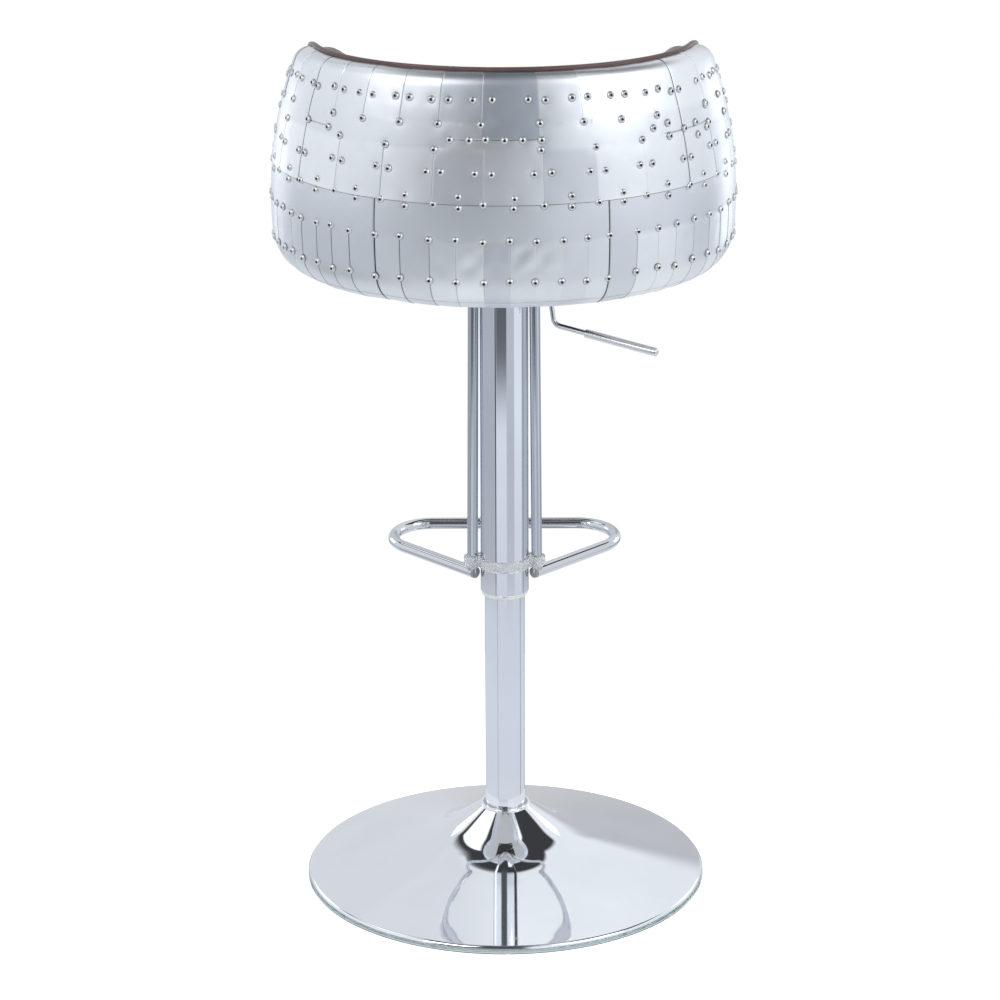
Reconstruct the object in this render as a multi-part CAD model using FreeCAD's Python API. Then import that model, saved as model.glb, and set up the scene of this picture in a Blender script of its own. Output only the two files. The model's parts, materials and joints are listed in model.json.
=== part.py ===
import FreeCAD, Part
import math
import os
from FreeCAD import Matrix, Vector

# Gas-lift swivel bar stool, shown fully raised. Millimetres and degrees.
# The origin is on the floor at the column's axis, +Z is up, +Y is the way a sitter faces.

# Base dish and its trim
dish_radius = 224.0
dish_sheet = 1.5
dish_lip_height = 6.2
dish_rim_radius = 3.8
dish_sweep_gap = 59.0
dish_sweep_rise = 14.9
dish_sweep_share = 0.7
flare_radius = 140.0
neck_foot_radius = 77.4
neck_foot_rise = 39.7
neck_height = 86.0
neck_lip_height = 3.4
neck_lip_width = 3.6
neck_lip_round = 1.4
trim_wall = 1.2
trim_floor = 2.0
trim_height = 5.0
ballast_edge_gap = 19.0
ballast_thickness = 6.0
ballast_hole_radius = 18.0

# Column and its socket
column_radius = 22.5
column_wall = 2.0
column_taper_length = 68.0
column_taper_depth = 0.9
column_floor_gap = 2.0
socket_wall = 2.6
end_plate_thickness = 4.0
end_plate_recess = 2.0
bush_length = 64.0
bush_flange = 4.0

# Gas lift and its swivel bearing
stroke = 210.0
rod_radius = 5.0
rod_end_radius = 4.0
rod_end_stub = 2.0
cylinder_radius = 14.0
cylinder_wall = 1.5
cylinder_cap = 12.0
cylinder_taper_length = 48.0
cylinder_taper_depth = 0.9
cylinder_proud = 1.0
cylinder_shoulder_length = 12.0
cylinder_shoulder_depth = 1.0
cylinder_shoulder_round = 2.0
lowest_hub_gap = 5.0
guided_length = 40.0
gland_length = 9.0
piston_length = 12.0
piston_groove_depth = 1.5
valve_pin_radius = 2.4
valve_pin_length = 22.0
valve_pin_rise = 4.7
valve_pin_round = 1.0
race_radius = 13.0
race_thickness = 2.0
race_bore_gap = 1.5
ball_radius = 2.0
ball_count = 9
ball_circle_radius = 9.6
cage_thickness = 1.6
cage_edge_gap = 0.4
buffer_radius = 12.0
buffer_length = 12.0
clip_thickness = 1.4
clip_radius = 6.5
clip_groove_depth = 0.8

# Sleeve, collar and footrest
sleeve_radius = 27.0
sleeve_wall = 1.5
sleeve_edge_round = 1.2
sleeve_low_gap = 45.0
guide_ring_flange = 4.0
guide_ring_depth = 24.0
guide_ring_round = 1.5
collar_height = 11.2
collar_above_ring = 33.5
collar_wall = 3.0
collar_ear_wall = 3.6
stem_radius = 6.0
stem_wall = 1.5
stem_top_x = 33.6
stem_foot_x = 36.0
stem_plug_length = 26.0
stem_thread_spare = 2.0
foot_tube_radius = 6.5
foot_tube_wall = 1.5
foot_below_collar = 2.0
foot_reach = 152.0
foot_vertex_x = 188.0
foot_corner_radius = 44.0
foot_leg_overhang = 3.2
foot_plug_thickness = 2.4
foot_plug_depth = 7.2
foot_plug_step = 0.4

# Mounting plate, pan, hub and bolts
plate_width = 172.0
plate_thickness = 3.0
plate_corner_radius = 12.0
plate_bolt_offset = 70.0
plate_bolt_radius = 4.0
pan_radius = 44.0
pan_wall = 2.5
pan_depth = 20.0
hub_wall = 4.5
hub_length = 48.0
hub_edge_round = 1.5
plate_bolt_head_radius = 7.2
plate_bolt_head_height = 5.0
tee_nut_radius = 11.0
tee_nut_plate = 1.6
tee_nut_wall = 1.4
stem_bolt_radius = 3.0
stem_bolt_length = 18.0
stem_bolt_head_radius = 5.3
stem_bolt_head_height = 4.0

# Lever
lever_azimuth = -25.0
lever_radius = 3.0
lever_lift_above_pan = 9.0
lever_pivot_reach = 28.0
lever_tip_overhang = 4.0
lever_barrel_radius = 5.2
lever_barrel_length = 8.6
lever_pin_radius = 2.0
lever_exit_reach = 53.0
lever_bend_reach = 61.0
lever_drop = 52.5
lever_end_reach = 180.0
lever_end_drop = 67.0
lever_bend_radius = 9.0
grip_radius = 4.7
grip_length = 86.0
grip_end_cap = 4.0
grip_end_round = 2.6
lever_slot_width = 9.0
lever_slot_below = 6.0
bracket_sheet = 2.0
bracket_length = 14.0
bracket_above_pin = 5.0
pin_head_radius = 3.4
pin_head_thickness = 1.2
pin_tail = 1.0

# Tub seat: an oval barrel cut off along a sloping rim
tub_half_width = 253.5
tub_half_depth = 190.0
tub_centre_y = 8.0
tub_bottom = 728.5
tub_belly_height = 76.5
tub_side_radius = 470.0
tub_corner_radius = 42.0
rim_height = 261.0
rim_slope = 3.5
rim_round = 12.0
rim_room = 60.0
arm_break_y = 30.0
arm_break_radius = 200.0
arm_slope = 50.0
arm_foot_radius = 65.0
apron_height = 94.0
skin_thickness = 1.0
core_wall = 12.0
hem_inset = 58.5
board_inset = 63.0
belt_height = 122.0
seam_gap = 0.6
cover_thickness = 0.8
upper_seams = (-61.0, 52.5)
lower_seams = (-33.0, 26.3)
dart_width = 0.6
top_dart_pitch = 11.35
top_dart_length = 50.0
mid_dart_pitch = 14.2
mid_dart_length = 58.5
low_dart_pitch = 6.6
dart_arm_limit = 92.0

# Upholstery
pad_thickness = 31.0
well_forward = 8.0
pad_lift = 10.0
pad_above_rim = 2.0
pad_round = 8.0
welt_width = 5.5
welt_height = 4.6
cushion_gap = 2.0
cushion_band_height = 74.0
cushion_crown = 40.0
cushion_shoulder = 44.0
cushion_shoulder_bow = 5.5
cushion_crown_drop = 11.2
cushion_draw_in = 8.0

# Clearances
running_fit = 0.1
seat_fit = 0.05
sliding_gap = 0.25
rest_gap = 0.3

# Levels worked out from the sizes above
up = Vector(0, 0, 1)
ballast_top = trim_floor + ballast_thickness
lip_top = trim_floor + dish_lip_height
neck_foot_height = lip_top + neck_foot_rise
column_bottom = ballast_top + column_floor_gap
end_plate_bottom = column_bottom + end_plate_recess
race_bottom = end_plate_bottom + end_plate_thickness
ball_level = race_bottom + race_thickness + ball_radius
rod_shoulder = ball_level + ball_radius + race_thickness
plate_top = tub_bottom + skin_thickness
pan_floor = plate_top - pan_depth
pan_underside = pan_floor - plate_thickness
hub_bottom = pan_floor - hub_length
column_top = hub_bottom - stroke - lowest_hub_gap - bush_flange
bush_bottom = column_top + bush_flange - bush_length
cylinder_bottom = bush_bottom - guided_length
cylinder_top = pan_floor + cylinder_proud
gland_top = cylinder_bottom + gland_length
piston_bottom = gland_top + rest_gap
ring_bottom = neck_height + stroke + sleeve_low_gap
sleeve_bottom = ring_bottom + guide_ring_flange
collar_bottom = ring_bottom + collar_above_ring
foot_level = collar_bottom - foot_below_collar - foot_tube_radius
lever_level = pan_floor + lever_lift_above_pan
belly_level = tub_bottom + tub_belly_height
belt_level = tub_bottom + belt_height
board_top = tub_bottom + skin_thickness + core_wall
cushion_bottom = board_top + rest_gap
open_top = tub_bottom + rim_height + rim_room


def on_xz(u, v):
    return Vector(u, 0, v)


def outline(corners, closed=True, plane=on_xz):
    # Straight runs from corner to corner, with a tangent arc wherever a corner has a radius
    spots = [plane(corner[0], corner[1]) for corner in corners]
    turns = []
    for index, corner in enumerate(corners):
        here = spots[index]
        if len(corner) == 2:
            turns.append((here, None, here))
            continue
        into = (here - spots[index - 1]).normalize()
        away = (spots[(index + 1) % len(spots)] - here).normalize()
        half_turn = into.getAngle(away) / 2
        reach = corner[2] * math.tan(half_turn)
        inward = (away - into).normalize()
        middle = here + inward * (corner[2] / math.cos(half_turn) - corner[2])
        turns.append((here - into * reach, middle, here + away * reach))
    edges = []
    for index, (start, middle, end) in enumerate(turns):
        if middle is not None:
            edges.append(Part.Arc(start, middle, end).toShape())
        if closed or index < len(turns) - 1:
            following = turns[(index + 1) % len(turns)][0]
            edges.append(Part.makeLine(end, following))
    return Part.Wire(edges)


def turned(corners):
    return Part.Face(outline(corners)).revolve(Vector(), up, 360)


def disc(radius, bottom, height, x=0.0, y=0.0):
    return Part.makeCylinder(radius, height, Vector(x, y, bottom))


def ring(outer, inner, bottom, height):
    return disc(outer, bottom, height).cut(disc(inner, bottom, height))


def around(shape, angle):
    turned_shape = shape.copy()
    turned_shape.rotate(Vector(), up, angle)
    return turned_shape


def mirrored(shape):
    return shape.mirror(Vector(), Vector(1, 0, 0))


# Base dish, trim and ballast
neck_radius = column_radius + socket_wall + dish_sheet + seat_fit * 2
neck_lip_radius = neck_radius - dish_sheet + neck_lip_width


def sweep_radius(before, here, after, share):
    # The radius of a tangent arc that takes up a share of the shorter run at a corner
    into = on_xz(*here) - on_xz(*before)
    away = on_xz(*after) - on_xz(*here)
    return share * min(into.Length, away.Length) / math.tan(into.getAngle(away) / 2)


def make_base_dish():
    # A trumpet: a cone under the neck's lip, a wide flare, then one long sweep out to the rolled edge
    foot = (neck_foot_radius, neck_foot_height)
    sweep = (dish_radius - dish_sweep_gap, lip_top + dish_sweep_rise)
    edge = (dish_radius, lip_top)
    path = outline(
        [
            (neck_radius, neck_height - neck_lip_height / 2),
            (*foot, flare_radius),
            (*sweep, sweep_radius(foot, sweep, edge, dish_sweep_share)),
            (*edge, dish_rim_radius),
            (dish_radius, trim_floor),
        ],
        closed=False,
    )
    sheet = path.makeOffset2D(-dish_sheet, 0, True, True)
    dish = sheet.revolve(Vector(), up, 360)
    lip_bottom = neck_height - neck_lip_height
    lip = turned(
        [
            (neck_radius - dish_sheet, lip_bottom),
            (neck_lip_radius, lip_bottom, neck_lip_round),
            (neck_lip_radius, neck_height, neck_lip_round),
            (neck_radius - dish_sheet, neck_height),
        ]
    )
    inside = disc(neck_radius - dish_sheet, neck_foot_height, neck_height)
    return dish.fuse(lip).cut(inside).removeSplitter()


def make_base_edge_trim():
    outer = dish_radius + seat_fit + trim_wall
    lip_outside = dish_radius + seat_fit
    lip_inside = dish_radius - dish_sheet - seat_fit
    inner = lip_inside - trim_wall
    return turned(
        [
            (inner, 0),
            (outer, 0),
            (outer, trim_height),
            (lip_outside, trim_height),
            (lip_outside, trim_floor),
            (lip_inside, trim_floor),
            (lip_inside, trim_height),
            (inner, trim_height),
        ]
    )


def make_ballast_plate():
    radius = dish_radius - ballast_edge_gap
    return ring(radius, ballast_hole_radius, trim_floor, ballast_thickness)


# Column and its socket
taper_top = column_bottom + column_taper_length
column_end_radius = column_radius - column_taper_depth
column_bore = column_radius - column_wall


def make_column_tube():
    return turned(
        [
            (column_bore, column_bottom),
            (column_end_radius, column_bottom),
            (column_radius, taper_top),
            (column_radius, column_top),
            (column_bore, column_top),
        ]
    )


def make_column_socket():
    outer = column_radius + socket_wall
    foot = column_end_radius - column_taper_depth * column_floor_gap / column_taper_length
    return turned(
        [
            (foot + seat_fit, ballast_top),
            (outer, ballast_top),
            (outer, taper_top),
            (column_radius + seat_fit, taper_top),
        ]
    )


def make_neck_ring():
    return ring(
        column_radius + socket_wall,
        column_radius + seat_fit,
        taper_top,
        neck_height - taper_top,
    )


def make_column_end_plate():
    return ring(
        column_bore - seat_fit,
        rod_end_radius + sliding_gap,
        end_plate_bottom,
        end_plate_thickness,
    )


def make_column_bush():
    bore = cylinder_radius + running_fit
    body = ring(column_bore - seat_fit, bore, bush_bottom, bush_length)
    flange = ring(column_radius, bore, column_top, bush_flange)
    return body.fuse(flange).removeSplitter()


# Gas lift and swivel bearing
cylinder_bore = cylinder_radius - cylinder_wall
cylinder_tip_radius = cylinder_radius - cylinder_taper_depth


def make_piston_rod():
    clip_top = end_plate_bottom - rest_gap
    clip_bottom = clip_top - clip_thickness
    groove = rod_end_radius - clip_groove_depth
    return turned(
        [
            (0, clip_bottom - rod_end_stub),
            (rod_end_radius, clip_bottom - rod_end_stub),
            (rod_end_radius, clip_bottom),
            (groove, clip_bottom),
            (groove, clip_top),
            (rod_end_radius, clip_top),
            (rod_end_radius, rod_shoulder),
            (rod_radius, rod_shoulder),
            (rod_radius, piston_bottom),
            (rod_end_radius, piston_bottom),
            (rod_end_radius, piston_bottom + piston_length + rod_end_stub),
            (0, piston_bottom + piston_length + rod_end_stub),
        ]
    )


def make_rod_clip():
    clip_bottom = end_plate_bottom - rest_gap - clip_thickness
    whole = ring(clip_radius, rod_end_radius - clip_groove_depth + seat_fit, clip_bottom, clip_thickness)
    mouth = Part.makeBox(
        clip_radius * 2,
        rod_end_radius,
        clip_thickness,
        Vector(0, -rod_end_radius / 2, clip_bottom),
    )
    return whole.cut(mouth)


def make_piston():
    radius = cylinder_bore - running_fit
    groove = radius - piston_groove_depth
    third = piston_length / 3
    top = piston_bottom + piston_length
    return turned(
        [
            (rod_end_radius + seat_fit, piston_bottom),
            (radius, piston_bottom),
            (radius, piston_bottom + third),
            (groove, piston_bottom + third),
            (groove, top - third),
            (radius, top - third),
            (radius, top),
            (rod_end_radius + seat_fit, top),
        ]
    )


def make_rod_buffer():
    return ring(buffer_radius, rod_radius + seat_fit, rod_shoulder, buffer_length)


def make_bearing_lower_race():
    return ring(race_radius, rod_end_radius + race_bore_gap, race_bottom, race_thickness)


def make_bearing_upper_race():
    return ring(
        race_radius,
        rod_end_radius + seat_fit,
        rod_shoulder - race_thickness,
        race_thickness,
    )


def ball_places():
    for index in range(ball_count):
        angle = 2 * math.pi * index / ball_count
        yield Vector(
            ball_circle_radius * math.cos(angle),
            ball_circle_radius * math.sin(angle),
            ball_level,
        )


def make_bearing_balls():
    return Part.makeCompound(
        [Part.makeSphere(ball_radius - seat_fit, place) for place in ball_places()]
    )


def make_ball_cage():
    cage = ring(
        race_radius - cage_edge_gap,
        rod_end_radius + race_bore_gap,
        ball_level - cage_thickness / 2,
        cage_thickness,
    )
    for place in ball_places():
        cage = cage.cut(Part.makeSphere(ball_radius + running_fit, place))
    return cage


def make_gas_cylinder():
    taper_bottom = cylinder_top - cylinder_taper_length
    cap_bottom = cylinder_top - cylinder_cap
    pin_hole = valve_pin_radius + running_fit
    return turned(
        [
            (cylinder_bore, cylinder_bottom),
            (cylinder_radius, cylinder_bottom),
            (cylinder_radius, taper_bottom),
            (cylinder_tip_radius, cylinder_top),
            (pin_hole, cylinder_top),
            (pin_hole, cap_bottom),
            (cylinder_bore - cylinder_shoulder_depth, cap_bottom, cylinder_shoulder_round),
            (cylinder_bore, cap_bottom - cylinder_shoulder_length),
        ]
    )


def make_cylinder_gland():
    return ring(
        cylinder_bore - seat_fit,
        rod_radius + running_fit,
        cylinder_bottom,
        gland_length,
    )


def make_valve_pin():
    top = cylinder_top + valve_pin_rise
    return turned(
        [
            (0, top - valve_pin_length),
            (valve_pin_radius, top - valve_pin_length),
            (valve_pin_radius, top, valve_pin_round),
            (0, top),
        ]
    )


# Sleeve and footrest
def make_outer_sleeve():
    bore = sleeve_radius - sleeve_wall
    return turned(
        [
            (bore, sleeve_bottom),
            (sleeve_radius, sleeve_bottom, sleeve_edge_round),
            (sleeve_radius, pan_underside),
            (bore, pan_underside),
        ]
    )


def make_sleeve_guide_ring():
    bore = column_radius + sliding_gap
    spigot = sleeve_radius - sleeve_wall - seat_fit
    return turned(
        [
            (bore, ring_bottom),
            (spigot, ring_bottom, guide_ring_round),
            (sleeve_radius - sleeve_edge_round, ring_bottom + guide_ring_round),
            (sleeve_radius - sleeve_edge_round, sleeve_bottom),
            (spigot, sleeve_bottom),
            (spigot, sleeve_bottom + guide_ring_depth),
            (bore, sleeve_bottom + guide_ring_depth),
        ]
    )


stem_foot = Vector(stem_foot_x, 0, foot_level)
stem_top = Vector(stem_top_x, 0, pan_underside)
leg_direction = Vector(foot_vertex_x - stem_foot_x, foot_reach, 0).normalize()
leg_end = stem_foot - leg_direction * foot_leg_overhang


def footrest_pipe(radius):
    path = outline(
        [
            (-leg_end.x, leg_end.y),
            (-foot_vertex_x, foot_reach, foot_corner_radius),
            (foot_vertex_x, foot_reach, foot_corner_radius),
            (leg_end.x, leg_end.y),
        ],
        closed=False,
        plane=lambda x, y: Vector(x, y, foot_level),
    )
    into_leg = Vector(-leg_direction.x, leg_direction.y, 0)
    start = Vector(-leg_end.x, leg_end.y, leg_end.z)
    section = Part.Wire(Part.makeCircle(radius, start, into_leg))
    return path.makePipeShell([section], True, False)


def make_footrest_loop():
    return footrest_pipe(foot_tube_radius).cut(footrest_pipe(foot_tube_radius - foot_tube_wall))


def make_footrest_end_plugs():
    inner = foot_tube_radius - foot_tube_wall - seat_fit
    head_radius = foot_tube_radius - foot_plug_step
    head = Part.makeCylinder(head_radius, foot_plug_thickness, leg_end, leg_direction * -1)
    spigot = Part.makeCylinder(inner, foot_plug_depth, leg_end, leg_direction)
    plug = head.fuse(spigot).removeSplitter()
    return Part.makeCompound([plug, mirrored(plug)])


def make_footrest_stem():
    axis = stem_top - stem_foot
    rod = Part.makeCylinder(stem_radius, axis.Length + stem_radius, stem_foot, axis)
    bore = Part.makeCylinder(
        stem_radius - stem_wall, axis.Length - stem_plug_length, stem_foot, axis
    )
    above = disc(pan_radius * 2, pan_underside, stem_radius * 4)
    thread_length = stem_bolt_length + stem_thread_spare
    thread = disc(stem_bolt_radius + seat_fit, pan_floor - thread_length, thread_length, stem_top_x)
    # The foot is coped over the tube, and the cope runs on past the tube's plugged end
    past_end = Part.makeCylinder(foot_tube_radius, stem_radius * 2, leg_end, leg_direction * -1)
    cope = footrest_pipe(foot_tube_radius).fuse(past_end)
    return rod.cut(bore).cut(above).cut(thread).cut(cope)


def stem_x_at(level):
    share = (level - foot_level) / (pan_underside - foot_level)
    return stem_foot_x + (stem_top_x - stem_foot_x) * share


def make_footrest_collar():
    middle_x = stem_x_at(collar_bottom + collar_height / 2)
    ear_radius = stem_radius + collar_ear_wall
    band_radius = sleeve_radius + collar_wall
    body = disc(band_radius, collar_bottom, collar_height)
    for side in (-1, 1):
        ear = disc(ear_radius, collar_bottom, collar_height, side * middle_x)
        web = Part.makeBox(
            middle_x,
            ear_radius * 2,
            collar_height,
            Vector(min(0, side * middle_x), -ear_radius, collar_bottom),
        )
        body = body.fuse([ear, web])
    body = body.removeSplitter()
    for side in (-1, 1):
        stem_hole = disc(stem_radius + sliding_gap, collar_bottom, collar_height, side * middle_x)
        body = body.cut(stem_hole)
    return body.cut(disc(sleeve_radius + running_fit, collar_bottom, collar_height))


def make_stem_bolts():
    head = disc(stem_bolt_head_radius, pan_floor, stem_bolt_head_height, stem_top_x)
    shank = disc(stem_bolt_radius, pan_floor - stem_bolt_length, stem_bolt_length, stem_top_x)
    bolt = head.fuse(shank)
    return Part.makeCompound([bolt, mirrored(bolt)])


# Mounting plate, hub, bolts
hub_radius = cylinder_radius + hub_wall
plate_underside = plate_top - plate_thickness


def bolt_places():
    for x in (-plate_bolt_offset, plate_bolt_offset):
        for y in (-plate_bolt_offset, plate_bolt_offset):
            yield x, y


def make_mount_plate():
    half = plate_width / 2
    corner = plate_corner_radius
    square = outline(
        [
            (-half, -half, corner),
            (half, -half, corner),
            (half, half, corner),
            (-half, half, corner),
        ],
        plane=lambda x, y: Vector(x, y, plate_underside),
    )
    plate = Part.Face(square).extrude(up * plate_thickness)
    pan = disc(pan_radius, pan_underside, plate_top - pan_underside)
    plate = plate.fuse(pan).cut(disc(pan_radius - pan_wall, pan_floor, pan_depth))
    plate = plate.cut(disc(hub_radius + seat_fit, pan_underside, plate_thickness))
    for side in (-1, 1):
        hole = disc(stem_bolt_radius + sliding_gap, pan_underside, pan_depth, side * stem_top_x)
        plate = plate.cut(hole)
    for x, y in bolt_places():
        hole = disc(plate_bolt_radius + sliding_gap, plate_underside, plate_thickness, x, y)
        plate = plate.cut(hole)
    slot_bottom = lever_level - lever_slot_below
    slot = Part.makeBox(
        pan_radius,
        lever_slot_width,
        plate_underside - slot_bottom,
        Vector(pan_radius - pan_wall * 2, -lever_slot_width / 2, slot_bottom),
    )
    return plate.cut(around(slot, lever_azimuth)).removeSplitter()


def make_cylinder_hub():
    taper_bottom = cylinder_top - cylinder_taper_length
    slope = cylinder_taper_depth / cylinder_taper_length
    top_bore = cylinder_radius - slope * (pan_floor - taper_bottom) + seat_fit
    foot_bore = cylinder_radius - slope * (hub_bottom - taper_bottom) + seat_fit
    if hub_bottom <= taper_bottom:
        foot_bore = cylinder_radius + seat_fit
    return turned(
        [
            (foot_bore, hub_bottom),
            (hub_radius, hub_bottom, hub_edge_round),
            (hub_radius, pan_floor),
            (top_bore, pan_floor),
        ]
    )


def make_plate_bolts():
    head_bottom = plate_underside - plate_bolt_head_height
    bolts = []
    for x, y in bolt_places():
        head = disc(plate_bolt_head_radius, head_bottom, plate_bolt_head_height, x, y)
        shank = disc(plate_bolt_radius, plate_underside, plate_thickness + core_wall, x, y)
        bolts.append(head.fuse(shank))
    return Part.makeCompound(bolts)


def make_tee_nuts():
    barrel_radius = plate_bolt_radius + tee_nut_wall
    nuts = []
    for x, y in bolt_places():
        collar = disc(tee_nut_radius, board_top - tee_nut_plate, tee_nut_plate, x, y)
        barrel = disc(barrel_radius, plate_top, core_wall - tee_nut_plate, x, y)
        bore = disc(plate_bolt_radius + seat_fit, plate_top, core_wall, x, y)
        nuts.append(collar.fuse(barrel).cut(bore))
    return Part.makeCompound(nuts)


# Lever: a bent rod that rocks on a pin in the pan and presses the valve with its inner end
def make_lever_rod():
    path = outline(
        [
            (-lever_tip_overhang, lever_level),
            (lever_exit_reach, lever_level, lever_bend_radius),
            (lever_bend_reach, lever_level - lever_drop, lever_bend_radius),
            (lever_end_reach, lever_level - lever_end_drop),
        ],
        closed=False,
    )
    start = Vector(-lever_tip_overhang, 0, lever_level)
    section = Part.Wire(Part.makeCircle(lever_radius, start, Vector(1, 0, 0)))
    rod = path.makePipeShell([section], True, False)
    across = Vector(0, 1, 0)
    pivot = Vector(lever_pivot_reach, -lever_barrel_length / 2, lever_level)
    barrel = Part.makeCylinder(lever_barrel_radius, lever_barrel_length, pivot, across)
    hole = Part.makeCylinder(lever_pin_radius + running_fit, lever_barrel_length, pivot, across)
    return around(rod.fuse(barrel).cut(hole), lever_azimuth)


grip_direction = Vector(
    lever_bend_reach - lever_end_reach, 0, lever_end_drop - lever_drop
).normalize()


def make_lever_grip():
    end = Vector(lever_end_reach, 0, lever_level - lever_end_drop) - grip_direction * grip_end_cap
    grip = Part.makeCylinder(grip_radius, grip_length, end, grip_direction)
    rims = [edge for edge in grip.Edges if isinstance(edge.Curve, Part.Circle)]
    rims.sort(key=lambda edge: (edge.CenterOfMass - end).Length)
    grip = grip.makeFillet(grip_end_round, rims[:1])
    hole = Part.makeCylinder(
        lever_radius + seat_fit, grip_length, end + grip_direction * grip_end_cap, grip_direction
    )
    return around(grip.cut(hole), lever_azimuth)


def make_lever_bracket():
    inner = lever_barrel_length / 2 + sliding_gap
    outer = inner + bracket_sheet
    left = lever_pivot_reach - bracket_length / 2
    height = lever_lift_above_pan + bracket_above_pin
    block = Part.makeBox(bracket_length, outer * 2, height, Vector(left, -outer, pan_floor))
    gap = Part.makeBox(
        bracket_length, inner * 2, height, Vector(left, -inner, pan_floor + bracket_sheet)
    )
    hole = Part.makeCylinder(
        lever_pin_radius + seat_fit,
        outer * 2,
        Vector(lever_pivot_reach, -outer, lever_level),
        Vector(0, 1, 0),
    )
    hub_room = disc(hub_radius + rest_gap, pan_floor, height)
    wall_room = ring(pan_radius * 2, pan_radius - pan_wall - rest_gap, pan_floor, height)
    return around(block.cut(gap).cut(hole).cut(hub_room).cut(wall_room), lever_azimuth)


def make_lever_pivot_pin():
    outer = lever_barrel_length / 2 + sliding_gap + bracket_sheet
    across = Vector(0, 1, 0)
    start = Vector(lever_pivot_reach, -outer, lever_level)
    shank = Part.makeCylinder(lever_pin_radius, outer * 2 + pin_tail, start, across)
    head = Part.makeCylinder(pin_head_radius, pin_head_thickness, start, across * -1)
    return around(shank.fuse(head), lever_azimuth)


# Tub. Its pieces are shaped round, about an upright axis through the origin, and then squeezed
# front to back into the oval: lengths across and upright keep their sizes.
squeeze_ratio = tub_half_depth / tub_half_width


def round_y(y):
    # Where a front-to-back place lies before the squeeze
    return (y - tub_centre_y) / squeeze_ratio


def squeezed(shape):
    squeeze = Matrix()
    squeeze.scale(1, squeeze_ratio, 1)
    squeeze.move(0, tub_centre_y, 0)
    return shape.transformGeometry(squeeze)


def barrel(inset, top=open_top):
    # The barrel drawn in all round by the inset: a flat bottom, a round corner, a bellied side
    side_radius = tub_side_radius - inset
    corner_radius = tub_corner_radius - inset
    side_centre = Vector(tub_half_width - tub_side_radius, 0, belly_level)
    corner_level = tub_bottom + tub_corner_radius
    span = tub_side_radius - tub_corner_radius
    corner_x = side_centre.x + math.sqrt(span**2 - (corner_level - belly_level) ** 2)
    corner_centre = Vector(corner_x, 0, corner_level)
    lean = (corner_centre - side_centre).normalize()
    meeting = side_centre + lean * side_radius
    foot = corner_centre - up * corner_radius
    half_way = (lean - up).normalize()
    shoulder_reach = math.sqrt(side_radius**2 - (top - belly_level) ** 2)
    shoulder = Vector(side_centre.x + shoulder_reach, 0, top)
    belly = side_centre + Vector(side_radius, 0, 0)
    edges = [
        Part.makeLine(Vector(0, 0, foot.z), foot),
        Part.Arc(foot, corner_centre + half_way * corner_radius, meeting).toShape(),
        Part.Arc(meeting, belly, shoulder).toShape(),
        Part.makeLine(shoulder, Vector(0, 0, top)),
        Part.makeLine(Vector(0, 0, top), Vector(0, 0, foot.z)),
    ]
    return Part.Face(Part.Wire(edges)).revolve(Vector(), up, 360)


def below_rim(rise):
    # Everything under the rim line, which slopes to the front and then falls along the arms
    far = tub_half_width * 2
    back_y = tub_centre_y - tub_half_depth
    slope = math.tan(math.radians(rim_slope))
    rim = tub_bottom + rim_height + rise
    apron = tub_bottom + apron_height + rise
    break_level = rim - (arm_break_y - back_y) * slope
    foot_y = arm_break_y + (break_level - apron) / math.tan(math.radians(arm_slope))
    side_view = outline(
        [
            (-far, 0),
            (-far, rim + (far + back_y) * slope),
            (arm_break_y, break_level, arm_break_radius),
            (foot_y, apron, arm_foot_radius),
            (far, apron),
            (far, 0),
        ],
        plane=lambda y, z: Vector(-far, round_y(y), z),
    )
    return Part.Face(side_view).extrude(Vector(far * 2, 0, 0))


def rim_edges(shape, lowest):
    # The edges along the rim, which all lie above the lowest level and are none of them straight
    return [
        edge
        for edge in shape.Edges
        if edge.BoundBox.ZMin > lowest and not isinstance(edge.Curve, Part.Line)
    ]


def rimmed_block(inset):
    # The solid tub with a rolled rim, drawn in by the inset
    block = barrel(inset).common(below_rim(-inset))
    return block.makeFillet(rim_round - inset, rim_edges(block, tub_bottom + apron_height - rim_round))


def tub_disc(inset, bottom, height):
    return disc(tub_half_width - inset, bottom, height)


def sector(start, end):
    # A tall wedge of the plan between two seams, counted from the back towards +X,
    # with half the seam gap left off each side
    trim = math.degrees(seam_gap / 2 / tub_half_width)
    span = end - start - trim * 2
    wedge = Part.makeCylinder(tub_half_width * 2, open_top, Vector(), up, span)
    return around(wedge, start + trim - 90)


def make_skin():
    skin = rimmed_block(0).cut(rimmed_block(skin_thickness))
    skin = skin.cut(barrel(rim_round))
    return skin.cut(tub_disc(hem_inset, tub_bottom, skin_thickness))


def darts(start, end, pitch, bottom, top):
    # Narrow upright slits, evenly spaced between two seams at about the pitch
    count = round((end - start) / pitch)
    for index in range(1, count):
        angle = start + (end - start) * index / count
        corner = Vector(tub_half_width / 2, -dart_width / 2, bottom)
        slit = Part.makeBox(tub_half_width, dart_width, top - bottom, corner)
        yield angle, around(slit, angle - 90)


def upper_darts(start, end):
    # One row hangs from the rim and one stands on the belt, as far as the arms
    below_row = below_rim(-top_dart_length)
    hanging = darts(start, end, top_dart_pitch, belt_level, open_top)
    standing = darts(start, end, mid_dart_pitch, tub_bottom, belt_level + mid_dart_length)
    slits = [slit.cut(below_row) for angle, slit in hanging if abs(angle) < dart_arm_limit]
    return slits + [slit for angle, slit in standing if abs(angle) < dart_arm_limit]


def lower_darts(start, end):
    # From where the apron's rolled edge starts, down and round to the hem
    top = tub_bottom + apron_height - rim_round
    return [slit for angle, slit in darts(start, end, low_dart_pitch, 0, top)]


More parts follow.
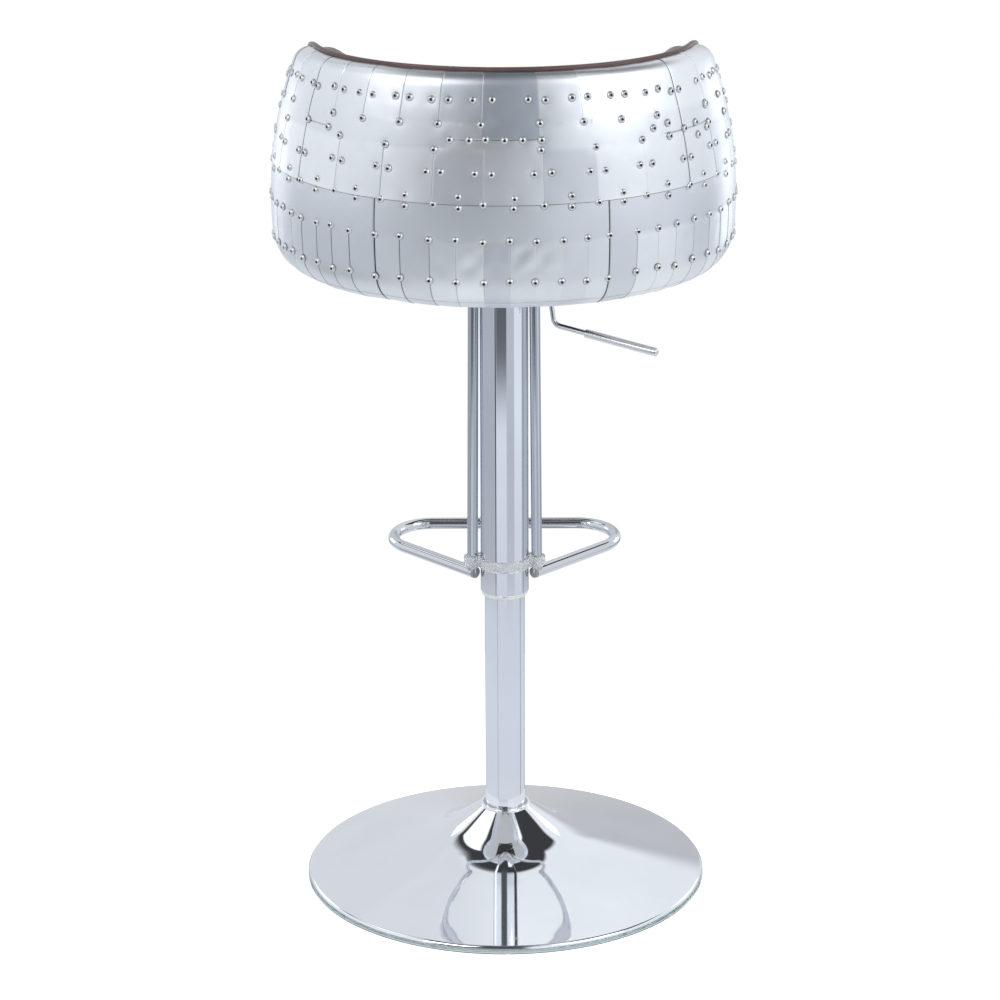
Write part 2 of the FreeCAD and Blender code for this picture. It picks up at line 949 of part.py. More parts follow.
def skin_panels():
    skin = make_skin()
    above = disc(tub_half_width * 2, belt_level + seam_gap / 2, open_top)
    below = disc(tub_half_width * 2, 0, belt_level - seam_gap / 2)
    tiers = {
        "upper": (above, upper_seams, upper_darts),
        "lower": (below, lower_seams, lower_darts),
    }
    for tier, (half, (left_seam, right_seam), slits) in tiers.items():
        band = skin.common(half)
        spans = {
            "back": (left_seam, right_seam),
            "left": (-180, left_seam),
            "right": (right_seam, 180),
        }
        for side, (start, end) in spans.items():
            panel = band.common(sector(start, end)).cut(slits(start, end))
            yield f"skin_{tier}_{side}", squeezed(panel)


def make_shell_core():
    core = rimmed_block(skin_thickness + seat_fit)
    core = core.cut(barrel(skin_thickness + core_wall))
    return squeezed(core.cut(tub_disc(board_inset, tub_bottom, core_wall * 2)))


def make_seat_board():
    board = squeezed(tub_disc(board_inset + seat_fit, plate_top, core_wall))
    barrel_hole = plate_bolt_radius + tee_nut_wall + seat_fit
    plate_recess = tee_nut_radius + seat_fit
    for x, y in bolt_places():
        board = board.cut(disc(barrel_hole, plate_top, core_wall, x, y))
        board = board.cut(disc(plate_recess, board_top - tee_nut_plate, tee_nut_plate, x, y))
    return board


def make_dust_cover():
    cover_bottom = plate_top - cover_thickness
    cover = squeezed(tub_disc(hem_inset + seat_fit, cover_bottom, cover_thickness))
    half = plate_width / 2 + sliding_gap
    opening = Part.makeBox(half * 2, half * 2, cover_thickness, Vector(-half, -half, cover_bottom))
    return cover.cut(opening)


# Upholstery: a lining pad all round inside the tub, and a cushion in the well that it leaves.
# The well lies a little forward, so that the pad is thickest behind the sitter.
pad_inset = skin_thickness + core_wall + rest_gap
well_inset = pad_inset + pad_thickness
well_radius = tub_half_width - well_inset
well_place = Vector(0, well_forward, 0)
pad_bottom = cushion_bottom + pad_lift


def make_well():
    # The space inside the pad: straight up to the belly, then drawn in like the tub's side
    side_radius = tub_side_radius - well_inset
    rise = open_top - belly_level
    bow = Vector(well_radius - side_radius, 0, belly_level)
    half_way = math.asin(rise / side_radius) / 2
    middle = bow + Vector(side_radius * math.cos(half_way), 0, side_radius * math.sin(half_way))
    shoulder = Vector(bow.x + math.sqrt(side_radius**2 - rise**2), 0, open_top)
    foot = Vector(well_radius, 0, tub_bottom)
    belly = Vector(well_radius, 0, belly_level)
    edges = [
        Part.makeLine(Vector(0, 0, foot.z), foot),
        Part.makeLine(foot, belly),
        Part.Arc(belly, middle, shoulder).toShape(),
        Part.makeLine(shoulder, Vector(0, 0, open_top)),
        Part.makeLine(Vector(0, 0, open_top), Vector(0, 0, foot.z)),
    ]
    well = Part.Face(Part.Wire(edges)).revolve(Vector(), up, 360)
    well.translate(well_place)
    return well


def make_round_pad():
    pad = barrel(pad_inset).cut(make_well())
    pad = pad.cut(disc(tub_half_width, 0, pad_bottom))
    pad = pad.common(below_rim(pad_above_rim))
    return pad.makeFillet(pad_round, rim_edges(pad, tub_bottom + apron_height - pad_round))


def make_rim_welt(round_pad):
    outer = rim_round + seat_fit
    band = barrel(outer).cut(barrel(outer + welt_width))
    band = band.common(below_rim(welt_height)).cut(below_rim(-skin_thickness - seat_fit))
    return squeezed(band.cut(round_pad))


def make_seat_cushion():
    widest = well_radius - cushion_gap
    waist = widest - cushion_draw_in
    band_top = cushion_bottom + cushion_band_height
    crown_top = band_top + cushion_crown
    foot = Vector(waist, 0, cushion_bottom)
    seam = Vector(waist, 0, band_top)
    bulge = Vector(widest, 0, (cushion_bottom + band_top) / 2)
    shoulder = Vector(waist - cushion_shoulder, 0, crown_top - cushion_crown_drop)
    chord = shoulder - seam
    bow = Vector(chord.z, 0, -chord.x).normalize() * cushion_shoulder_bow
    crown_middle = Vector(shoulder.x / 2, 0, crown_top - cushion_crown_drop / 4)
    centre_top = Vector(0, 0, crown_top)
    centre_bottom = Vector(0, 0, cushion_bottom)
    edges = [
        Part.makeLine(centre_bottom, foot),
        Part.Arc(foot, bulge, seam).toShape(),
        Part.Arc(seam, seam + chord / 2 + bow, shoulder).toShape(),
        Part.Arc(shoulder, crown_middle, centre_top).toShape(),
        Part.makeLine(centre_top, centre_bottom),
    ]
    cushion = Part.Face(Part.Wire(edges)).revolve(Vector(), up, 360)
    cushion.translate(well_place)
    return squeezed(cushion)


def build():
    round_pad = make_round_pad()
    stem = make_footrest_stem()
    pieces = {
        "base_dish": make_base_dish(),
        "base_edge_trim": make_base_edge_trim(),
        "ballast_plate": make_ballast_plate(),
        "column_socket": make_column_socket(),
        "neck_ring": make_neck_ring(),
        "column_tube": make_column_tube(),
        "column_end_plate": make_column_end_plate(),
        "column_bush": make_column_bush(),
        "bearing_lower_race": make_bearing_lower_race(),
        "piston_rod": make_piston_rod(),
        "piston": make_piston(),
        "rod_buffer": make_rod_buffer(),
        "bearing_upper_race": make_bearing_upper_race(),
        "rod_clip": make_rod_clip(),
        "ball_cage": make_ball_cage(),
        "bearing_balls": make_bearing_balls(),
        "gas_cylinder": make_gas_cylinder(),
        "cylinder_gland": make_cylinder_gland(),
        "valve_pin": make_valve_pin(),
        "outer_sleeve": make_outer_sleeve(),
        "sleeve_guide_ring": make_sleeve_guide_ring(),
        "mount_plate": make_mount_plate(),
        "cylinder_hub": make_cylinder_hub(),
        "plate_bolts": make_plate_bolts(),
        "tee_nuts": make_tee_nuts(),
        "lever_bracket": make_lever_bracket(),
        "lever_pivot_pin": make_lever_pivot_pin(),
        "lever_rod": make_lever_rod(),
        "lever_grip": make_lever_grip(),
        "footrest_loop": make_footrest_loop(),
        "footrest_stem_left": mirrored(stem),
        "footrest_stem_right": stem,
        "footrest_collar": make_footrest_collar(),
        "footrest_end_plugs": make_footrest_end_plugs(),
        "stem_bolts": make_stem_bolts(),
        "seat_board": make_seat_board(),
        "dust_cover": make_dust_cover(),
        "shell_core": make_shell_core(),
        "rim_welt": make_rim_welt(round_pad),
        "back_pad": squeezed(round_pad),
        "seat_cushion": make_seat_cushion(),
    }
    pieces.update(skin_panels())
    return pieces


os.makedirs("parts", exist_ok=True)
for name, shape in build().items():
    solids = shape.Solids
    volume = sum(solid.Volume for solid in solids) / 1000
    print(f"{name}: {len(solids)} solid(s), {volume:.2f} cm3, valid {shape.isValid()}")
    shape.exportStep(f"parts/{name}.step")
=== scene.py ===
import json
import math

import bmesh
import bpy
import numpy as np
from mathutils import Matrix, Vector


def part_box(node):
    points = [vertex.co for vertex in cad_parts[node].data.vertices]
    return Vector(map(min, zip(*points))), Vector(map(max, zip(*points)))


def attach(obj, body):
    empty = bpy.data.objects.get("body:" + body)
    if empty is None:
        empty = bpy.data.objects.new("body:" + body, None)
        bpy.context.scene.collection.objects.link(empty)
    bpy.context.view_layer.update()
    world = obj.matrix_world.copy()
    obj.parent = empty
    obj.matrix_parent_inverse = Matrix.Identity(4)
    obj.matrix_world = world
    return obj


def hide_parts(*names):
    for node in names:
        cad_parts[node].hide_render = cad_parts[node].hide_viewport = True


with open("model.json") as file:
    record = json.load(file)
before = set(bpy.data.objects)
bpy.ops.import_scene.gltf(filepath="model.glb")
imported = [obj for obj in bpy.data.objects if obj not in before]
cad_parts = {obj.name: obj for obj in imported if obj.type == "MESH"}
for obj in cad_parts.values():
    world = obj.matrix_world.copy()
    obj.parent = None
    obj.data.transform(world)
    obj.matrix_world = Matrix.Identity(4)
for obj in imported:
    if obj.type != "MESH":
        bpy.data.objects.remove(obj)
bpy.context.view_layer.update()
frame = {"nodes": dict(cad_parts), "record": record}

nodeSlots = {part["node"]: part["material_slot"] for part in frame["record"]["subparts"]}


# Shapes

tiny = 1e-6


def camelName(nodeName):
    # A node's or slot's name with its words run together, each but the first with a capital
    first, *others = nodeName.split("_")
    return first + "".join(word.capitalize() for word in others)


def fullTurn(count):
    return np.linspace(0, 2 * np.pi, count, endpoint=False)


def unit(vectors):
    # The same directions, all of length 1
    return vectors / np.linalg.norm(vectors, axis=-1, keepdims=True)


def smoothStep(low, high, value):
    # 0 below low and 1 above high; between them three squares of the share less two cubes
    share = np.clip((value - low) / (high - low), 0, 1)
    return share * share * (3 - 2 * share)


def ridge(away, width):
    # A bell curve: 1 at no distance, next to nothing at two widths
    return np.exp(-((away / width) ** 2))


def gridFaces(rows, columns, closeRows=False, closeColumns=False):
    # Quads between neighbouring points of a grid, joined round where the grid closes
    index = np.arange(rows * columns).reshape(rows, columns)
    if closeRows:
        index = np.vstack((index, index[:1]))
    if closeColumns:
        index = np.hstack((index, index[:, :1]))
    corners = (index[:-1, :-1], index[:-1, 1:], index[1:, 1:], index[1:, :-1])
    return np.stack(corners, -1).reshape(-1, 4)


def roundedPath(corners, arcStep=5.0):
    # Straight runs from corner to corner, with a tangent arc at each corner that gives a radius;
    # one point more on the straight beside each arc keeps the shading of the straight flat
    besideArc = 1.15
    spots = [np.array(corner[:2], float) for corner in corners]
    radii = [corner[2] if len(corner) > 2 else 0.0 for corner in corners]
    runs = [spots[:1]]
    for before, here, after, radius in zip(spots, spots[1:], spots[2:], radii[1:]):
        if radius == 0.0:
            runs.append([here])
            continue
        into = (here - before) / np.linalg.norm(here - before)
        away = (after - here) / np.linalg.norm(after - here)
        turn = math.acos(min(1.0, float(into @ away)))
        reach = radius * math.tan(turn / 2)
        start = here - into * reach
        inward = (away - into) / np.linalg.norm(away - into)
        centre = here + inward * radius / math.cos(turn / 2)
        steps = max(2, math.ceil(math.degrees(turn) / arcStep))
        angle = np.linspace(0, turn, steps + 1)[:, None]
        runs.append([here - into * reach * besideArc])
        runs.append(centre + (start - centre) * np.cos(angle) + into * radius * np.sin(angle))
        runs.append([here + away * reach * besideArc])
    runs.append(spots[-1:])
    return np.vstack(runs)


def revolve(profile, segments):
    # Each profile point's radius and height carried once round the upright axis
    turn = fullTurn(segments)
    radius, level = profile[:, :1], profile[:, 1:]
    flat = np.zeros_like(turn)
    return np.stack((radius * np.cos(turn), radius * np.sin(turn), level + flat), -1)


def sweepTube(path, radii, sides, across):
    # A round section carried along a flat path, every ring square to the path; the ends close to a point
    aside = np.cross(unit(np.gradient(path, axis=0)), across)
    turn = fullTurn(sides)[None, :, None]
    ring = np.cos(turn) * aside[:, None, :] + np.sin(turn) * np.asarray(across)[None, None, :]
    rings = path[:, None, :] + np.broadcast_to(radii, len(path))[:, None, None] * ring
    first = np.repeat(path[:1, None, :], sides, 1)
    last = np.repeat(path[-1:, None, :], sides, 1)
    return np.concatenate((first, rings, last))


def newMesh(name, points, faces, marks):
    mesh = bpy.data.meshes.new(name)
    mesh.from_pydata(points.reshape(-1, 3).tolist(), [], faces.tolist())
    for mark, values in marks.items():
        layer = mesh.attributes.new(mark, "FLOAT", "POINT")
        layer.data.foreach_set("value", values.astype(np.float32).ravel())
    return mesh


def weld(mesh):
    # Doubled points are merged, which closes seams and poles, and the faces then point outwards
    shape = bmesh.new()
    shape.from_mesh(mesh)
    bmesh.ops.remove_doubles(shape, verts=shape.verts, dist=tiny)
    bmesh.ops.recalc_face_normals(shape, faces=shape.faces)
    shape.to_mesh(mesh)
    shape.free()


def smoothShade(mesh, sharpAngle=32):
    mesh.shade_smooth()
    mesh.set_sharp_from_angle(angle=math.radians(sharpAngle))


def addObject(name, mesh):
    piece = bpy.data.objects.new(name, mesh)
    bpy.context.scene.collection.objects.link(piece)
    return piece


def settle(piece, finish, body, slotName, stands=()):
    # Its finish, the body it moves with and the nodes that it stands for; the material slot it is given is
    # not used
    piece.data.materials.clear()
    piece.data.materials.append(finish)
    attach(piece, body)
    if stands:
        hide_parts(*stands)


def makePiece(name, points, faces, finish, body, slotName, stands=(), sharpAngle=32, marks=None):
    mesh = newMesh(name, points, faces, marks or {})
    weld(mesh)
    smoothShade(mesh, sharpAngle)
    settle(addObject(name, mesh), finish, body, slotName, stands)


def evaluatedMesh(piece):
    depsgraph = bpy.context.evaluated_depsgraph_get()
    return bpy.data.meshes.new_from_object(piece.evaluated_get(depsgraph))


def coordinates(mesh):
    places = np.empty(len(mesh.vertices) * 3, np.float32)
    mesh.vertices.foreach_get("co", places)
    return places.reshape(-1, 3)


# Finishes

class Wire:
    # A socket in a node tree: arithmetic on it adds Math nodes, and node() adds any other kind
    def __init__(self, tree, socket=None):
        self.tree = tree
        self.socket = socket

    def node(self, kind, settings, sockets, output=0):
        made = self.tree.nodes.new(kind)
        for name, value in settings.items():
            setattr(made, name, value)
        for name, value in sockets.items():
            if isinstance(value, Wire):
                self.tree.links.new(value.socket, made.inputs[name])
            else:
                made.inputs[name].default_value = value
        return Wire(self.tree, made.outputs[output] if made.outputs else None)

    def maths(self, operation, *values):
        return self.node("ShaderNodeMath", {"operation": operation}, dict(enumerate(values)))

    def __add__(self, other):
        return self.maths("ADD", self, other)

    def __sub__(self, other):
        return self.maths("SUBTRACT", self, other)

    def __rsub__(self, other):
        return self.maths("SUBTRACT", other, self)

    def __mul__(self, other):
        return self.maths("MULTIPLY", self, other)

    __radd__ = __add__
    __rmul__ = __mul__

    def between(self, low, high):
        # 0 below low, 1 above high, and a smooth rise between them
        settings = {"interpolation_type": "SMOOTHSTEP"}
        return self.node("ShaderNodeMapRange", settings, {"Value": self, 1: low, 2: high})

    def mixed(self, first, second):
        # This factor's way from the first colour to the second
        return self.node("ShaderNodeMix", {"data_type": "RGBA"}, {0: self, 6: first, 7: second}, 2)

    def places(self, stretch=(1.0, 1.0, 1.0)):
        spot = self.node("ShaderNodeTexCoord", {}, {}, "Object")
        if stretch == (1.0, 1.0, 1.0):
            return spot
        return self.node("ShaderNodeMapping", {}, {"Vector": spot, "Scale": stretch})

    def noise(self, spot, scale, detail=3.0, roughness=0.5):
        sockets = {"Vector": spot, "Scale": scale, "Detail": detail, "Roughness": roughness}
        return self.node("ShaderNodeTexNoise", {}, sockets)

    def mark(self, name):
        return self.node("ShaderNodeAttribute", {"attribute_name": name}, {}, "Fac")

    def bump(self, height, strength, distance):
        sockets = {"Height": height, "Strength": strength, "Distance": distance}
        return self.node("ShaderNodeBump", {}, sockets)


def newFinish(name):
    finish = bpy.data.materials.new(name)
    finish.use_nodes = True
    finish.node_tree.nodes.clear()
    return finish, Wire(finish.node_tree)


def coat(finish, wire, sockets):
    shader = wire.node("ShaderNodeBsdfPrincipled", {}, sockets)
    wire.node("ShaderNodeOutputMaterial", {}, {"Surface": shader})
    return finish


def shaded(colour, share):
    # The same colour, darker or lighter by a share
    return tuple(min(1.0, part * share) for part in colour[:3]) + (1.0,)


def makeChrome(name, tint, roughness):
    # Plated steel: a mirror with faint wiping marks and a few hairline scratches
    finish, wire = newFinish(name)
    haze = wire.noise(wire.places(), scale=7.0, detail=4.0)
    scratch = wire.noise(wire.places(stretch=(40.0, 40.0, 900.0)), scale=1.0, detail=2.0)
    fine = scratch.between(0.62, 0.75)
    return coat(finish, wire, {
        "Base Color": haze.between(0.35, 0.75).mixed(tint, shaded(tint, 0.93)),
        "Metallic": 1.0,
        "Roughness": roughness + haze * roughness + fine * 0.03,
    })


aluminium = {
    "pale": (0.90, 0.925, 0.95, 1),
    "cloudy": (0.83, 0.86, 0.895, 1),
    "dark": (0.40, 0.45, 0.52, 1),
    "stain": (0.55, 0.56, 0.57, 1),
    # The near-black of the shade painted along the lines of darts, seams, belt and hem
    "line": (0.05, 0.05, 0.055, 1),
    "roughness": 0.29,
    "grainDepth": 0.0004,
}


def makeAluminium(p):
    # Bare sheet: satin, cloudy, with a faint upright rolling grain; each strip has its own tone, and painted
    # shade darkens the lines of darts, seams, belt and hem
    finish, wire = newFinish("bareAluminium")
    strip = wire.mark("tone")
    cloud = wire.noise(wire.places(), scale=11.0, detail=5.0, roughness=0.6)
    stain = wire.noise(wire.places(), scale=46.0, detail=4.0, roughness=0.65).between(0.5, 0.8)
    grain = wire.noise(wire.places(stretch=(620.0, 620.0, 26.0)), scale=1.0, detail=3.0, roughness=0.6)
    bright = cloud.between(0.25, 0.8).mixed(p["pale"], p["cloudy"])
    toned = strip.mixed(p["dark"], bright)
    stained = (stain * 0.10).mixed(toned, p["stain"])
    return coat(finish, wire, {
        # Painted shade: the lines of darts, seams, belt and hem are darkened in the colour
        "Base Color": wire.mark("line").mixed(stained, p["line"]),
        "Metallic": 1.0,
        "Roughness": p["roughness"] + cloud * 0.10 + (1 - strip) * 0.10 + stain * 0.05 + grain * 0.03,
        "Normal": wire.bump(grain, strength=0.05, distance=p["grainDepth"]),
    })


def makeRivetMetal():
    # Polished rivet heads, worn in places; painted shade makes the shallow middle black as a deep hole and
    # darkens the foot of the head as its shadow on the sheet
    finish, wire = newFinish("rivetMetal")
    polished, worn = (0.76, 0.775, 0.795, 1), (0.66, 0.675, 0.695, 1)
    # The black of the painted shade in the middle and at the foot of each head
    deep = (0.012, 0.012, 0.014, 1)
    rivetShade = wire.mark("rivetShade")
    wear = wire.noise(wire.places(), scale=160.0)
    return coat(finish, wire, {
        "Base Color": rivetShade.mixed(wear.mixed(polished, worn), deep),
        "Metallic": 1.0 - rivetShade,
        "Roughness": 0.34 + wear * 0.12 + rivetShade * 0.3,
    })


def makeLeather(name, deep, light, grainScale):
    # Waxed brown hide: pebbled grain in two sizes, cloudy dye, paler where it is stretched
    finish, wire = newFinish(name)
    spot = wire.places()
    cloud = wire.noise(spot, scale=16.0, detail=5.0, roughness=0.6)
    cells = wire.node("ShaderNodeTexVoronoi", {"feature": "F1"}, {"Vector": spot, "Scale": grainScale})
    crease = wire.noise(spot, scale=grainScale * 0.16, detail=6.0, roughness=0.62)
    height = cells.between(0.0, 0.6) * 0.6 + crease * 0.9
    pull = cloud.between(0.45, 0.8) * 0.55 + crease.between(0.5, 0.7) * 0.25
    return coat(finish, wire, {
        "Base Color": pull.mixed(deep, light),
        "Roughness": 0.34 + cloud * 0.16 + cells * 0.12,
        "Specular IOR Level": 0.5,
        "Normal": wire.bump(height, strength=0.32, distance=0.0008),
        "Coat Weight": 0.35 + 0.5 * cloud,
        "Coat Roughness": 0.24,
    })


def makeClear(name, tint, roughness, transmission, ior):
    # Moulded plastic that lets light through, a little cloudy
    finish, wire = newFinish(name)
    cloud = wire.noise(wire.places(), scale=60.0)
    return coat(finish, wire, {
        "Base Color": cloud.mixed(tint, shaded(tint, 1.04)),
        "Roughness": roughness + cloud * 0.06,
        "Transmission Weight": transmission,
        "IOR": ior,
    })


def makePlain(name, colour, metallic, roughness, grainScale, grainDepth):
    # Painted, moulded or raw stock with a fine uneven surface
    finish, wire = newFinish(name)
    spot = wire.places()
    cloud = wire.noise(spot, scale=grainScale * 0.1, detail=4.0)
    grain = wire.noise(spot, scale=grainScale, detail=4.0)
    return coat(finish, wire, {
        "Base Color": cloud.between(0.3, 0.7).mixed(shaded(colour, 0.78), colour),
        "Metallic": metallic,
        "Roughness": roughness + (grain - 0.5) * 0.16,
        "Normal": wire.bump(grain, strength=0.35, distance=grainDepth),
    })


def makePlywood():
    # Birch with its grain along X: noise drawn out into fibres, darker and lower between them
    finish, wire = newFinish("birchPly")
    darkGrain, paleGrain = (0.46, 0.31, 0.17, 1), (0.62, 0.46, 0.29, 1)
    grain = wire.noise(wire.places(stretch=(14.0, 160.0, 160.0)), scale=1.0, detail=5.0, roughness=0.65)
    return coat(finish, wire, {
        "Base Color": grain.between(0.3, 0.7).mixed(darkGrain, paleGrain),
        "Roughness": 0.62 + grain * 0.15,
        "Normal": wire.bump(grain, strength=0.4, distance=0.0004),
    })


def makeDustCloth():
    # Pale grey non-woven cloth: a fine square emboss over felt
    finish, wire = newFinish("dustCloth")
    shadedFelt, paleFelt = (0.60, 0.595, 0.59, 1), (0.74, 0.735, 0.73, 1)
    fibre = wire.noise(wire.places(), scale=900.0)
    emboss = {"Vector": wire.places(), "Scale": 160.0}
    warp, weft = (wire.node("ShaderNodeTexWave", {"bands_direction": axis}, emboss) for axis in "XY")
    return coat(finish, wire, {
        "Base Color": fibre.mixed(shadedFelt, paleFelt),
        "Roughness": 0.82 + fibre * 0.12,
        "Normal": wire.bump(warp * weft + fibre * 0.5, strength=0.5, distance=0.0003),
    })


# Each plain finish: colour, metallic share, roughness, scale and depth of its grain
plainFinishes = {
    "ballast_iron": ((0.10, 0.10, 0.105, 1), 0.6, 0.6, 240.0, 0.0005),
    "inner_steel": ((0.55, 0.56, 0.58, 1), 1.0, 0.32, 500.0, 0.0001),
    "cream_plastic": ((0.80, 0.79, 0.72, 1), 0.0, 0.38, 700.0, 0.0001),
    "dark_plug": ((0.36, 0.365, 0.375, 1), 0.0, 0.42, 600.0, 0.0001),
    "seal_rubber": ((0.02, 0.02, 0.021, 1), 0.0, 0.7, 500.0, 0.0002),
    "cylinder_black": ((0.02, 0.02, 0.022, 1), 0.0, 0.3, 400.0, 0.0001),
    "plate_black": ((0.022, 0.022, 0.024, 1), 0.0, 0.45, 700.0, 0.0003),
    "zinc_bolts": ((0.62, 0.63, 0.62, 1), 1.0, 0.35, 600.0, 0.0001),
    # Near black, so that the tub's core reads as shade through the gaps between the sheets: painted shade
    "stained_ply": ((0.030, 0.027, 0.025, 1), 0.0, 0.75, 300.0, 0.0003),
}
finishes = {slot: makePlain(camelName(slot), *look) for slot, look in plainFinishes.items()}
finishes.update({
    "chrome": makeChrome("chromePlate", tint=(0.885, 0.91, 0.955, 1), roughness=0.025),
    "bar_chrome": makeChrome("barChrome", tint=(0.68, 0.70, 0.74, 1), roughness=0.04),
    "grip_chrome": makeChrome("gripChrome", tint=(0.74, 0.75, 0.77, 1), roughness=0.13),
    "clear_trim": makeClear(
        "clearTrim", tint=(0.86, 0.96, 0.94, 1), roughness=0.06, transmission=0.92, ior=1.45),
    "clear_collar": makeClear(
        "milkyCollar", tint=(0.96, 0.965, 0.98, 1), roughness=0.16, transmission=0.70, ior=1.46),
    "plywood": makePlywood(),
    "dust_cloth": makeDustCloth(),
    "skin_aluminium": makeAluminium(aluminium),
    "rivet_metal": makeRivetMetal(),
    "brown_leather": makeLeather(
        "brownHide", deep=(0.050, 0.022, 0.015, 1), light=(0.115, 0.055, 0.038, 1), grainScale=620.0),
    "welt_leather": makeLeather(
        "weltHide", deep=(0.075, 0.036, 0.034, 1), light=(0.135, 0.072, 0.066, 1), grainScale=760.0),
})
for nodeName, node in frame["nodes"].items():
    node.data.materials.clear()
    node.data.materials.append(finishes[nodeSlots[nodeName]])
print("finishes:", len(finishes))


# Pedestal: dish, edge trim and column tube, all turned about the column's axis

pedestal = {
    "neckRadius": 0.0267,
    "neckBore": 0.0252,
    "neckLipRadius": 0.0288,
    "neckLipHeight": 0.0034,
    "neckLipRound": 0.0014,
    "lipCrease": (0.0284, 0.0831),
    "neckFoot": (0.0774, 0.0479),
    "flareRadius": 0.140,
    "sweepCorner": (0.165, 0.0231),
    "sweepShare": 0.7,
    "dishArcStep": 1.2,
    "rimTop": 0.0082,
    "rimRound": 0.0038,
    "sheet": 0.0015,
    "trimWall": 0.0012,
    "trimRound": 0.0005,
    "columnWall": 0.0020,
    "columnEdge": 0.0004,
    "dishSegments": 256,
    "columnSegments": 96,
}


def turnedLoop(node, profile, segments, slotName, body):
    # A closed profile turned once round, which stands for the node of the same name
    faces = gridFaces(len(profile), segments, closeRows=True, closeColumns=True)
    points = revolve(profile, segments)
    makePiece(camelName(node), points, faces, finishes[slotName], body, slotName, [node])


def turnedPiece(node, corners, segments, slotName, body, arcStep=5.0):
    # An outline of corners, rounded where they say so and turned once round
    profile = roundedPath(corners + corners[:1], arcStep)[:-1]
    turnedLoop(node, profile, segments, slotName, body)


def sweepRadius(before, here, after, share):
    # The radius of a tangent arc that takes up a share of the shorter run at a corner
    into = np.subtract(here, before)
    away = np.subtract(after, here)
    turn = math.atan2(into[1], into[0]) - math.atan2(away[1], away[0])
    return share * min(np.hypot(*into), np.hypot(*away)) / math.tan(abs(turn) / 2)


def makePedestal(p):
    # The dish is a trumpet: its sheet's outer line, and the same line again one sheet further in
    low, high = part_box("base_dish")
    edge, floor, top = high.x, low.z, high.z
    foot, sweep, rim = p["neckFoot"], p["sweepCorner"], (edge, p["rimTop"])
    lipBottom = top - p["neckLipHeight"]
    outside = roundedPath([
        (p["neckRadius"], top - p["neckLipHeight"] / 2),
        (*foot, p["flareRadius"]),
        (*sweep, sweepRadius(foot, sweep, rim, p["sweepShare"])),
        (*rim, p["rimRound"]),
        (edge, floor),
    ], p["dishArcStep"])
    ahead = unit(np.gradient(outside, axis=0))
    inside = outside + p["sheet"] * np.column_stack((ahead[:, 1], -ahead[:, 0]))
    inside[:, 1] = np.maximum(inside[:, 1], floor)
    lip = roundedPath([
        (p["neckBore"], lipBottom),
        (p["neckBore"], top),
        (p["neckLipRadius"], top, p["neckLipRound"]),
        (p["neckLipRadius"], lipBottom + p["neckLipRound"]),
        p["lipCrease"],
    ])
    profile = np.vstack((lip, outside[1:], inside[:0:-1]))
    turnedLoop("base_dish", profile, p["dishSegments"], "chrome", "base")
    # The trim is a channel that grips the dish's edge from below
    low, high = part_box("base_edge_trim")
    lipInside = edge - p["sheet"]
    trim = [
        (lipInside - p["trimWall"], low.z),
        (high.x, low.z, p["trimRound"]),
        (high.x, high.z, p["trimRound"]),
        (edge, high.z),
        (edge, floor),
        (lipInside, floor),
        (lipInside, high.z),
        (lipInside - p["trimWall"], high.z),
    ]
    turnedPiece("base_edge_trim", trim, p["dishSegments"], "clear_trim", "base")
    low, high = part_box("column_tube")
    bore = high.x - p["columnWall"]
    column = [
        (bore, low.z),
        (high.x, low.z),
        (high.x, high.z, p["columnEdge"]),
        (bore, high.z),
    ]
    turnedPiece("column_tube", column, p["columnSegments"], "chrome", "base")


makePedestal(pedestal)
print("pedestal done")


# Sleeve, guide ring, footrest and lever

seatPost = {
    "sleeveWall": 0.0015,
    "sleeveEdge": 0.0012,
    "ringFlange": 0.0040,
    "ringRound": 0.0015,
    "ringBore": 0.02275,
    "ringSpigot": 0.02545,
    "arcStep": 9.0,
    "segments": 96,
}


def makeSeatPost(p):
    # A tube with a rounded foot, and in its foot a ring: a flange below, a thinner spigot up inside the tube
    low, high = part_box("outer_sleeve")
    bore = high.x - p["sleeveWall"]
    sleeve = [
        (bore, low.z),
        (high.x, low.z, p["sleeveEdge"]),
        (high.x, high.z),
        (bore, high.z),
    ]
    turnedPiece("outer_sleeve", sleeve, p["segments"], "chrome", "seat", p["arcStep"])
    low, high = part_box("sleeve_guide_ring")
    shoulder = low.z + p["ringFlange"]
    ring = [
        (p["ringBore"], low.z),
        (high.x, low.z, p["ringRound"]),
        (high.x, shoulder),
        (p["ringSpigot"], shoulder),
        (p["ringSpigot"], high.z),
        (p["ringBore"], high.z),
    ]
    turnedPiece("sleeve_guide_ring", ring, p["segments"], "cream_plastic", "seat", p["arcStep"])


footrest = {
    "vertexX": 0.188,
    "cornerRadius": 0.044,
    "arcStep": 3.0,
    "stemFootX": 0.036,
    "stemTopX": 0.0336,
    "stemRadius": 0.006,
    "stemRows": 5,
    "legOverhang": 0.0032,
    "collarBevel": 0.0008,
    "sides": 40,
}


def tubePiece(node, path, radii, sides, across, finish, slotName, body, sharpAngle=40):
    # A round bar along a path, which stands for the node of the same name
    points = sweepTube(path, radii, sides, across)
    faces = gridFaces(len(points), sides, closeColumns=True)
    makePiece(camelName(node), points, faces, finishes[finish], body, slotName, [node], sharpAngle)


